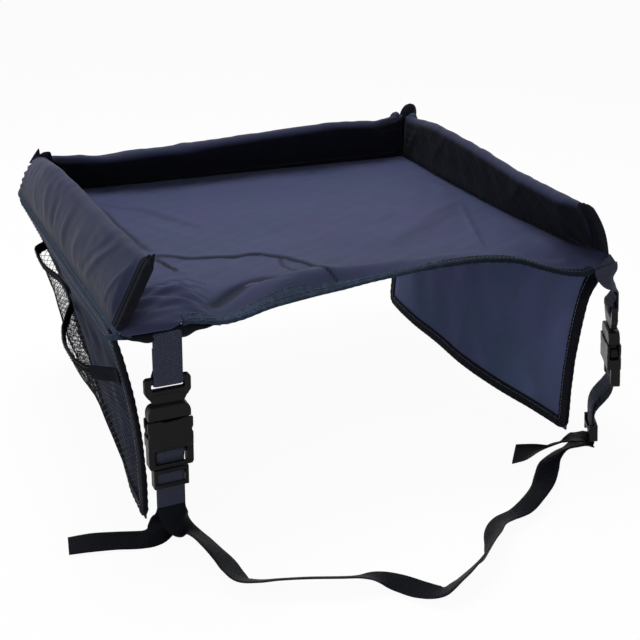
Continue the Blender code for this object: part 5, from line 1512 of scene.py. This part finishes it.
def build_divider(flap):
    """The seam that parts the pocket in two, seen as a line of stitches on both faces of the flap."""
    down = np.linspace(POCKET_TOP - 0.004, flap.pocket_foot - 0.004, 90)
    middle = np.full_like(down, (flap.pocket_front + flap.pocket_back) / 2)
    relief = flap.relief(down, middle)
    for name, face in (("outer", 1.0), ("inner", -1.0)):
        lift = relief + face * (CLOTH / 2 + (0.0009 if face > 0 else 0.0001))
        flap.sew("divider_stitches_" + name, down, middle, lift, "thread", "navy_nylon", face)


# Straps

class StrapFrame:
    """A buckle's own frame: X across the webbing, Y through it with the front at minus, Z up it."""

    def __init__(self, origin, turn, tilt):
        self.origin = np.array(origin)
        self.axes = np.array(Matrix.Rotation(turn, 3, "Z") @ Matrix.Rotation(-tilt, 3, "X"))

    def place(self, points):
        """Points of the frame in the tray's own axes."""
        return self.origin + np.asarray(points, dtype=float) @ self.axes.T

    def stations(self, path):
        """A path of (y, z) as stations: a place and the direction across the webbing, six numbers each."""
        path = np.asarray(path, dtype=float)
        places = self.place(np.column_stack([np.zeros(len(path)), path]))
        return np.column_stack([places, np.tile(self.axes[:, 0], (len(path), 1))])


LEFT_BUCKLE = StrapFrame(LEFT_MOUTH, 0.0, 0.0)
RIGHT_BUCKLE = StrapFrame(RIGHT_MOUTH, RIGHT_TURN, RIGHT_TILT)


def smooth_route(points, step):
    """Points about a step apart on the Catmull-Rom curve through the given points."""
    points = np.asarray(points, dtype=float)
    padded = np.concatenate([2 * points[:1] - points[1:2], points, 2 * points[-1:] - points[-2:-1]])
    runs = []
    for before, start, end, after in zip(padded, padded[1:], padded[2:], padded[3:]):
        count = max(1, round(float(np.linalg.norm((end - start)[:3])) / step))
        share = np.linspace(0.0, 1.0, count, endpoint=False)[:, None]
        runs.append(0.5 * (2 * start + (end - before) * share
                           + (2 * before - 5 * start + 4 * end - after) * share ** 2
                           + (3 * start - before - 3 * end + after) * share ** 3))
    return np.concatenate(runs + [points[-1:]])


def bent(points, radius, steps=8):
    """A flat path whose inner corners are rounded by parabolas that start the radius away."""
    points = np.asarray(points, dtype=float)
    path = [points[:1]]
    share = np.linspace(0.0, 1.0, steps + 1)[:, None]
    for before, corner, after in zip(points, points[1:], points[2:]):
        to_before, to_after = before - corner, after - corner
        long_before, long_after = np.linalg.norm(to_before), np.linalg.norm(to_after)
        to_before, to_after = to_before / long_before, to_after / long_after
        half_angle = 0.5 * math.acos(max(-1.0, min(1.0, float(to_before @ to_after))))
        reach = min(radius / math.tan(half_angle), 0.49 * long_before, 0.49 * long_after)
        path.append((1 - share) ** 2 * (corner + to_before * reach) + 2 * share * (1 - share) * corner
                    + share ** 2 * (corner + to_after * reach))
    return np.concatenate(path + [points[-1:]])


def evenly(stations, step):
    """Stations read a step apart along their own run."""
    run = run_lengths(stations[:, :3])
    keep = np.concatenate([[True], np.diff(run) > 1e-7])
    at = np.linspace(0.0, run[-1], max(3, round(run[-1] / step) + 1))
    return np.column_stack([np.interp(at, run[keep], stations[keep, axis]) for axis in range(6)])


def add_webbing(name, stations, finish="webbing"):
    """Flat webbing through stations: a section with round selvedges, bumpy at each turn of the weft."""
    centres, across = stations[:, :3], stations[:, 3:]
    tangents = unit(np.gradient(centres, axis=0))
    across = unit(across - tangents * np.sum(tangents * across, axis=1, keepdims=True))
    out = np.cross(across, tangents)
    lanes = np.linspace(-1.0, 1.0, 15)
    half_thick = WEBBING_THICKNESS / 2 * (1.0 - 0.75 * np.abs(lanes) ** 14)
    wide = np.concatenate([lanes, lanes[::-1]]) * WEBBING_WIDTH / 2
    thick = np.concatenate([-half_thick, half_thick[::-1]])
    run = run_lengths(centres)
    selvedge = 1.0 + 0.006 * wave(run, 0.0016)[:, None, None]
    rings = (centres[:, None] + across[:, None] * wide[None, :, None] * selvedge
             + out[:, None] * thick[None, :, None])
    return add_tube(name, rings, finish, 70.0)


def anchor_path(stand_off, sewn):
    """The anchor webbing's Y and Z: down the plug's front, through its slot and sewn up behind itself."""
    turn = PLUG_SLOT_TOP - GAP - WEBBING_THICKNESS / 2
    sewn_y = PLY_STEP - stand_off
    return [(-stand_off, PLUG_TOP), (-stand_off, turn), (stand_off, turn), (stand_off, PLUG_TOP),
            (sewn_y, PLUG_TOP + 2 * stand_off), (sewn_y, PLUG_TOP + 2 * stand_off + sewn)]


def build_anchors():
    """The short webbing from each front corner to its buckle plug."""
    edge = np.array(LEFT_MOUTH[0] + WEBBING_WIDTH / 2)
    under = SHEET_MIDDLE - float(droop(edge, front_edge(edge))) - CLOTH / 2 - GAP - BINDING_WALL
    top = under - GAP - WEBBING_THICKNESS / 2 - LEFT_MOUTH[2]
    stand_off = PLUG_STAND_OFF
    path = [(0.0140 - stand_off, top), (-stand_off, top)] + anchor_path(stand_off, 0.016)[1:]
    left = LEFT_BUCKLE.stations(bent(path, WEBBING_THICKNESS))
    straight = RIGHT_BUCKLE.stations([(-stand_off, 0.043)])
    twist = smooth_route(np.concatenate([RIGHT_ANCHOR_ROUTE, straight]), WEBBING_WIDTH / 16)
    down = RIGHT_BUCKLE.stations(bent([(-stand_off, 0.043)] + anchor_path(stand_off, 0.003)[1:],
                                      WEBBING_THICKNESS))
    right = np.concatenate([twist, down[1:]])
    for prefix, buckle, stations, start in (
            ("left", LEFT_BUCKLE, left, (-0.166, -0.163, -0.0017)),
            ("right", RIGHT_BUCKLE, right, (0.200, -0.168, 0.0023))):
        strap = add_webbing(prefix + "_anchor", evenly(stations, 0.0005))
        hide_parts(prefix + "_anchor_strap")
        tuple(buckle.place((0.0, -stand_off, PLUG_TOP + 0.001)))
        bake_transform(strap)


def loop_path(length, straight_from, swing, belly):
    """The doubled webbing's Y and Z: up the front, round the ladder's bar and down the back.

    Between the ladder and straight_from the plies sway back by a smooth step and part by a squared sine.
    """
    bar = LADDER_BAR_RADIUS + GAP + WEBBING_THICKNESS / 2
    levels = np.linspace(LADDER_BAR_DROP + 0.006, straight_from, 9)
    share = (levels - levels[0]) / (straight_from - levels[0])
    sway = np.append(swing * smooth_step(share), swing)
    apart = np.append(PLY_STEP / 2 + belly * np.sin(math.pi * share) ** 2, PLY_STEP / 2)
    levels = np.append(levels, length)
    angles = np.linspace(0.0, math.pi, 17)
    arc = np.column_stack([-bar * np.cos(angles), -LADDER_BAR_DROP + bar * np.sin(angles)])
    return np.concatenate([np.column_stack([sway - apart, -levels])[::-1], arc,
                           np.column_stack([sway + apart, -levels])])


def build_loops():
    """The doubled webbing below each socket."""
    for name, buckle, path in (
            ("left_loop_webbing", LEFT_BUCKLE, loop_path(LEFT_LOOP_LENGTH, LEFT_STRAIGHT, 0.0, 0.0)),
            ("right_loop_webbing", RIGHT_BUCKLE,
             loop_path(RIGHT_LOOP_LENGTH, RIGHT_STRAIGHT, RIGHT_SWING, RIGHT_BELLY))):
        loop = add_webbing(name, evenly(buckle.stations(path), 0.0006))
        settle(loop, "tray", "navy_webbing", name.replace("_webbing", ""))


def loose_end(buckle, swing, length, ply):
    """A loose strap's first two stations, where a loop's ply ends."""
    level = -length - GAP
    stations = buckle.stations([(swing + ply, level), (swing + ply, level - WEBBING_THICKNESS)])
    stations[:, 3:] *= -1.0
    return stations


def loose_webbing(name, stations):
    """Loose webbing through stations, kept above the floor by its own half width and thickness."""
    route = smooth_route(stations, 0.0016)
    edge = WEBBING_WIDTH / 2 * np.abs(route[:, 5]) / np.linalg.norm(route[:, 3:], axis=1)
    route[:, 2] = np.maximum(route[:, 2], edge + WEBBING_THICKNESS / 2 + FLOOR_LEVEL + 0.0013)
    return add_webbing(name, route, "belt"), route[:, :3]


def build_belt():
    """The waist belt between the two sliders, and the free tails past them, as one limp cord."""
    half_ply = PLY_STEP / 2
    for name, buckle, swing, length, route in (
            ("left_tail_webbing", LEFT_BUCKLE, 0.0, LEFT_LOOP_LENGTH, LEFT_TAIL_ROUTE),
            ("right_tail_webbing", RIGHT_BUCKLE, RIGHT_SWING, RIGHT_LOOP_LENGTH, RIGHT_TAIL_ROUTE)):
        tail, _ = loose_webbing(name, np.concatenate([loose_end(buckle, swing, length, half_ply), route]))
        settle(tail, "tray", "navy_webbing", name.replace("_webbing", ""))
    first = loose_end(LEFT_BUCKLE, 0.0, LEFT_LOOP_LENGTH, -half_ply)
    last = loose_end(RIGHT_BUCKLE, RIGHT_SWING, RIGHT_LOOP_LENGTH, -half_ply)[::-1]
    belt, path = loose_webbing("waist_belt", np.concatenate([first, BELT_ROUTE, last]))
    settle(belt, "tray", "navy_webbing", "belt")
    round(float(run_lengths(path)[-1]), 3)


# Buckles and sliders

# The cells in which solids are fused
CELL = 0.00036
FINE_CELL = 0.0003


def rounded_outline(corners, radius, steps=6):
    """A closed outline of (across, up) whose corners are rounded by parabolas that start the radius away."""
    corners = np.asarray(corners, dtype=float)
    loop = np.concatenate([corners[-1:], corners, corners[:1]])
    return bent(loop, radius, steps)[1:-1]


def extruded(outline, low, high):
    """A closed solid from an outline of (across, up) carried through the buckle, as points and faces."""
    count = len(outline)
    front = np.column_stack([outline[:, 0], np.full(count, low), outline[:, 1]])
    points = np.concatenate([front, front + np.array([0.0, high - low, 0.0])])
    sides = [(at, (at + 1) % count, count + (at + 1) % count, count + at) for at in range(count)]
    faces = [tuple(range(count))[::-1], tuple(range(count, 2 * count))] + sides
    return points, faces


def block(left, right, low, high, front, back):
    """A solid with six flat faces, from its bounds across, up and through the buckle."""
    return extruded(np.array([(left, low), (right, low), (right, high), (left, high)]), front, back)


def pair(outline, front, back):
    """A solid and its mirror image on the other side of the buckle's middle."""
    return [extruded(outline, front, back), extruded((outline * np.array([-1.0, 1.0]))[::-1], front, back)]


def moulded(name, body, node, blocks=(), buckle=None, voxel=FINE_CELL, passes=4):
    """A moulded piece: its solids are fused on a fine grid of cells and every edge is smoothed round.

    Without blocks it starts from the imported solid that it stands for.
    """
    shape = bmesh.new()
    if not blocks:
        shape.from_mesh(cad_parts[node].data)
        bmesh.ops.remove_doubles(shape, verts=shape.verts, dist=0.00001)
    for points, faces in blocks:
        corners = [shape.verts.new(point) for point in buckle.place(points)]
        made = [shape.faces.new([corners[index] for index in face]) for face in faces]
        bmesh.ops.recalc_face_normals(shape, faces=made)
    mesh = bpy.data.meshes.new(name)
    shape.to_mesh(mesh)
    shape.free()
    mesh.materials.clear()
    mesh.materials.append(material_of("plastic"))
    made = bpy.data.objects.new(name, mesh)
    bpy.context.scene.collection.objects.link(made)
    cells = made.modifiers.new("Fused", "REMESH")
    cells.mode = "VOXEL"
    cells.voxel_size = voxel
    cells.use_smooth_shade = True
    soften = made.modifiers.new("Rounded", "SMOOTH")
    soften.factor = 0.5
    soften.iterations = passes
    return settle(made, body, "black_plastic", node)


def socket_blocks():
    """The socket's solids: two faces, walls below the windows, a floor and the ladder for the webbing."""
    half, thick, foot = BUCKLE_HALF, 0.0055, -0.0375
    face = rounded_outline([(-half, -0.0215), (half, -0.0215), (half, -0.0125), (0.0152, -0.0100),
                            (half, -0.0075), (half, 0.0), (0.009, 0.0), (0.006, -0.0013), (-0.006, -0.0013),
                            (-0.009, 0.0), (-half, 0.0), (-half, -0.0075), (-0.0152, -0.0100),
                            (-half, -0.0125)], 0.0008)
    wall = np.array([(0.01275, -0.0215), (half, -0.0215), (half, -0.0130), (0.01275, -0.0130)])
    rail = rounded_outline([(0.01175, foot), (0.0152, foot), (half, foot + 0.002), (half, -0.0205),
                            (0.01175, -0.0205)], 0.0006)
    bar = TURN * np.arange(16) / 16
    turned = np.column_stack([-LADDER_BAR_DROP + LADDER_BAR_RADIUS * np.sin(bar),
                              LADDER_BAR_RADIUS * np.cos(bar)])
    points, faces = extruded(turned, -0.0140, 0.0140)
    across = np.column_stack([points[:, 1], points[:, 2], points[:, 0]])
    return [extruded(face, -thick, -0.0035), extruded(face, 0.0035, thick), *pair(wall, -thick, thick),
            block(-half, half, -0.0215, -0.0200, -thick, thick),
            block(-0.0125, 0.0125, -0.0232, -0.0212, -0.0052, -0.0030),
            *pair(rail, -0.0050, 0.0025), (across, faces),
            block(-half + 0.001, half - 0.001, foot, foot + 0.003, -0.0050, -0.0026)]


def plug_blocks():
    """The plug's solids: a frame with round ears and the webbing's slot, the neck, shoulders and tongue."""
    half, slot = BUCKLE_HALF, 0.01175
    ear = rounded_outline([(slot, 0.0170), (0.0135, 0.0160), (half, 0.0200), (half, 0.0300),
                           (0.0145, PLUG_TOP), (slot, PLUG_TOP)], 0.0022)
    bottom = rounded_outline([(-0.0112, 0.0120), (0.0112, 0.0120), (0.0140, 0.0176), (0.0140, 0.0223),
                              (-0.0140, 0.0223), (-0.0140, 0.0176)], 0.0020)
    rise = np.linspace(0.0, math.pi / 2, 9)
    flare = np.column_stack([0.0108 + 0.0045 * np.sin(rise), 0.0106 - 0.0066 * (1.0 - np.cos(rise))])
    side = np.concatenate([[(0.0, 0.0106)], flare, [(0.01525, 0.0003), (0.0, 0.0003)]])
    return [*pair(ear, -0.0025, 0.0025), block(-0.0130, 0.0130, PLUG_SLOT_TOP, PLUG_TOP, -0.0025, 0.0025),
            extruded(bottom, -0.0025, 0.0025), *pair(side, -0.0045, 0.0045),
            block(-0.0125, 0.0125, 0.0196, 0.0214, -0.0034, 0.0),
            block(-0.0025, 0.0025, -0.0170, 0.0050, -0.0025, 0.0025)]


def build_buckle(prefix):
    """One side-release buckle: socket, plug, and two latch arms with their grip ribs."""
    buckle = LEFT_BUCKLE if prefix == "left" else RIGHT_BUCKLE
    moulded(prefix + "_buckle_socket", "tray", prefix + "_socket", socket_blocks(), buckle, CELL, 5)
    moulded(prefix + "_buckle_front", prefix + "_buckle_plug", prefix + "_plug", plug_blocks(), buckle,
            CELL, 5)
    for letter, side in (("a", -1.0), ("b", 1.0)):
        body = prefix + "_arm_" + letter
        moulded(prefix + "_buckle_arm_" + letter, body, prefix + "_latch_" + letter, passes=3)
        centres = np.zeros((4, 7, 3))
        centres[..., 0] = side * 0.0160
        centres[..., 1] = np.linspace(-0.0024, 0.0024, 7)
        centres[..., 2] = (-0.0056 - 0.0013 * np.arange(4))[:, None]
        outs = np.broadcast_to(buckle.axes[:, 0] * side, centres.shape)
        ribs = add_strands(prefix + "_arm_ribs_" + letter, buckle.place(centres), outs, 0.00045, 1.0,
                           "plastic", sides=8)
        settle(ribs, body, "black_plastic")


# Camera, floor and light

CAMERA_PLACE = (-0.3534, -0.7804, 0.2900)
CAMERA_RIGHT = (0.9044, -0.4259, 0.0272)
CAMERA_BACK = (-0.4000, -0.8237, 0.4020)
CAMERA_LENS = 59.6
CAMERA_SENSOR = 36.0
FLOOR_WIDTH = 16.0
BACKDROP_GLOW = 1.02
BACKDROP_SHARE = 0.93
WORLD_LIGHT = 0.22
# Lamps: name, place, target, width and power
LAMPS = (("overhead", (-0.10, 0.35, 1.20), (0.0, 0.0, 0.0), 0.8, 11.5),
         ("front_fill", (-1.10, -1.20, 0.35), (0.0, -0.05, -0.02), 0.9, 3.6),
         ("spark", (-0.75, -0.60, 0.95), (-0.05, -0.10, -0.05), 0.12, 0.9))


def build_camera():
    """The camera at the photograph's viewing angle, from its right and back directions made square."""
    right, back = Vector(CAMERA_RIGHT).normalized(), Vector(CAMERA_BACK).normalized()
    up = back.cross(right).normalized()
    right = up.cross(back)
    lens = bpy.data.cameras.new("camera")
    lens.lens = CAMERA_LENS
    lens.sensor_width = CAMERA_SENSOR
    lens.clip_start = 0.01
    camera = bpy.data.objects.new("camera", lens)
    camera.matrix_world = Matrix.Translation(CAMERA_PLACE) @ Matrix((right, up, back)).transposed().to_4x4()
    bpy.context.scene.collection.objects.link(camera)
    bpy.context.scene.camera = camera


def add_lamp(name, place, target, width, power):
    """A square soft lamp that faces a target."""
    lamp = bpy.data.lights.new(name, "AREA")
    lamp.shape = "SQUARE"
    lamp.size = width
    lamp.energy = power
    made = bpy.data.objects.new(name, lamp)
    facing = (Vector(target) - Vector(place)).to_track_quat("-Z", "Y")
    made.matrix_world = Matrix.Translation(place) @ facing.to_matrix().to_4x4()
    bpy.context.scene.collection.objects.link(made)


def build_stage():
    """A plain pale floor that keeps a faint shadow, soft overhead light and a weak fill."""
    half = FLOOR_WIDTH / 2
    mesh = bpy.data.meshes.new("floor")
    corners = [(x * half, y * half, FLOOR_LEVEL) for x, y in ((-1, -1), (1, -1), (1, 1), (-1, 1))]
    mesh.from_pydata(corners, [], [(0, 1, 2, 3)])
    finish = Finish("pale_floor", tuple(colours().floor), 0.9, Specular_IOR_Level=0.0)
    glow = finish.node("ShaderNodeEmission", {}, {"Strength": BACKDROP_GLOW})
    lit = Value(finish, finish.shader.outputs[0])
    share = finish.seen_directly() * BACKDROP_SHARE
    mixed = finish.node("ShaderNodeMixShader", {}, {0: share, 1: lit, 2: glow})
    finish.feed(finish.tree.nodes["Material Output"].inputs["Surface"], mixed)
    mesh.materials.append(finish.material)
    floor = bpy.data.objects.new("floor", mesh)
    bpy.context.scene.collection.objects.link(floor)
    for lamp in LAMPS:
        add_lamp(*lamp)
    world = bpy.data.worlds.new("pale_world")
    bpy.context.scene.world = world
    world.use_nodes = True
    sky = NodeTree(world.node_tree, "Background")
    sky.set("Color", (1.0, 1.0, 1.0, 1.0))
    sky.set("Strength", sky.seen_directly() * (1.0 - WORLD_LIGHT) + WORLD_LIGHT)
    bpy.context.scene.view_settings.view_transform = "Standard"


# Operators, in the order in which the tray is dressed

class TRAY_OT_camera(Operator):
    """Places the camera at the photograph's viewing angle"""

    bl_idname = "tray.camera"
    bl_label = "Camera"

    def execute(self, context):
        build_camera()
        return {"FINISHED"}


class TRAY_OT_straps(Operator):
    """Weaves the belt, its tails, the loops and the anchor webbing"""

    bl_idname = "tray.straps"
    bl_label = "Straps"

    def execute(self, context):
        build_belt()
        build_loops()
        build_anchors()
        return {"FINISHED"}


class TRAY_OT_floor(Operator):
    """Lays the floor's cloth over and under the board, with its hems and front binding"""

    bl_idname = "tray.floor"
    bl_label = "Floor"

    def execute(self, context):
        build_underside()
        build_floor_sheet()
        build_corner_shade_lip()
        build_front_binding()
        build_corner_tack()
        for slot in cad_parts["base_board"].material_slots:
            slot.material = material_of("board")
        return {"FINISHED"}


class TRAY_OT_walls(Operator):
    """Pads the three walls and closes their ends and corners with tape"""

    bl_idname = "tray.walls"
    bl_label = "Padded walls"

    def execute(self, context):
        left, right, back = WALL_FORMS
        for form in WALL_FORMS:
            build_wall(form)
        for form in (left, right):
            build_front_strip(form)
        build_corner_tape(left, "left_wall_corner_tape", False, "left_wall_back_strip")
        build_corner_tape(right, "right_wall_corner_tape", False, "right_wall_back_strip")
        build_corner_tape(back, "back_wall_corner_tape_left", True, "back_wall_left_strip")
        build_corner_tape(back, "back_wall_corner_tape_right", False, "back_wall_right_strip")
        build_corner_details()
        build_piping("left_piping", -1)
        build_piping("right_piping", 1)
        build_piping("rear_piping", 0)
        return {"FINISHED"}


class TRAY_OT_flaps(Operator):
    """Hangs the two flaps with their bindings and divider seams"""

    bl_idname = "tray.flaps"
    bl_label = "Side flaps"

    def execute(self, context):
        for flap in FLAP_FORMS:
            build_flap_panel(flap)
            build_flap_binding(flap)
            build_seam_tape(flap)
            build_divider(flap)
        return {"FINISHED"}


class TRAY_OT_pockets(Operator):
    """Knits the two net pockets with their elastic hems and tabs"""

    bl_idname = "tray.pockets"
    bl_label = "Net pockets"

    def execute(self, context):
        for flap in FLAP_FORMS:
            build_net(flap)
            build_elastic(flap)
            build_tab(flap)
        return {"FINISHED"}


class TRAY_OT_buckles(Operator):
    """Moulds the two buckles and the two slides"""

    bl_idname = "tray.buckles"
    bl_label = "Buckles and slides"

    def execute(self, context):
        for prefix in ("left", "right"):
            build_buckle(prefix)
            moulded(prefix + "_slide", prefix + "_strap_slider", prefix + "_slider")
        return {"FINISHED"}


class TRAY_OT_stage(Operator):
    """Sets the pale floor and the soft light"""

    bl_idname = "tray.stage"
    bl_label = "Stage"

    def execute(self, context):
        build_stage()
        return {"FINISHED"}


OPERATORS = (TRAY_OT_camera, TRAY_OT_straps, TRAY_OT_floor, TRAY_OT_walls, TRAY_OT_flaps, TRAY_OT_pockets,
             TRAY_OT_buckles, TRAY_OT_stage)


class TRAY_PT_sidebar(Panel):
    """Lists the tray's sizes, colours and pieces"""

    bl_idname = "TRAY_PT_sidebar"
    bl_label = "Car Seat Tray Table"
    bl_space_type = "VIEW_3D"
    bl_region_type = "UI"
    bl_category = "Tray Table"

    def draw(self, context):
        for group in (context.scene.tray_sizes, context.scene.tray_colours):
            for name in group.__annotations__:
                self.layout.prop(group, name)
        for operator in OPERATORS:
            self.layout.operator(operator.bl_idname)


CLASSES = (TraySizes, TrayColours, *OPERATORS, TRAY_PT_sidebar)


def register():
    """Registers the classes and the two groups of properties on the scene."""
    for item in CLASSES:
        bpy.utils.register_class(item)
    bpy.types.Scene.tray_sizes = PointerProperty(type=TraySizes)
    bpy.types.Scene.tray_colours = PointerProperty(type=TrayColours)


def unregister():
    """Takes the properties and classes away again."""
    del bpy.types.Scene.tray_colours
    del bpy.types.Scene.tray_sizes
    for item in reversed(CLASSES):
        bpy.utils.unregister_class(item)


def main():
    """Dresses the tray piece by piece."""
    register()
    bpy.ops.tray.camera()
    bpy.ops.tray.straps()
    bpy.ops.tray.floor()
    bpy.ops.tray.walls()
    bpy.ops.tray.flaps()
    bpy.ops.tray.pockets()
    bpy.ops.tray.buckles()
    bpy.ops.tray.stage()


if __name__ == "__main__":
    main()
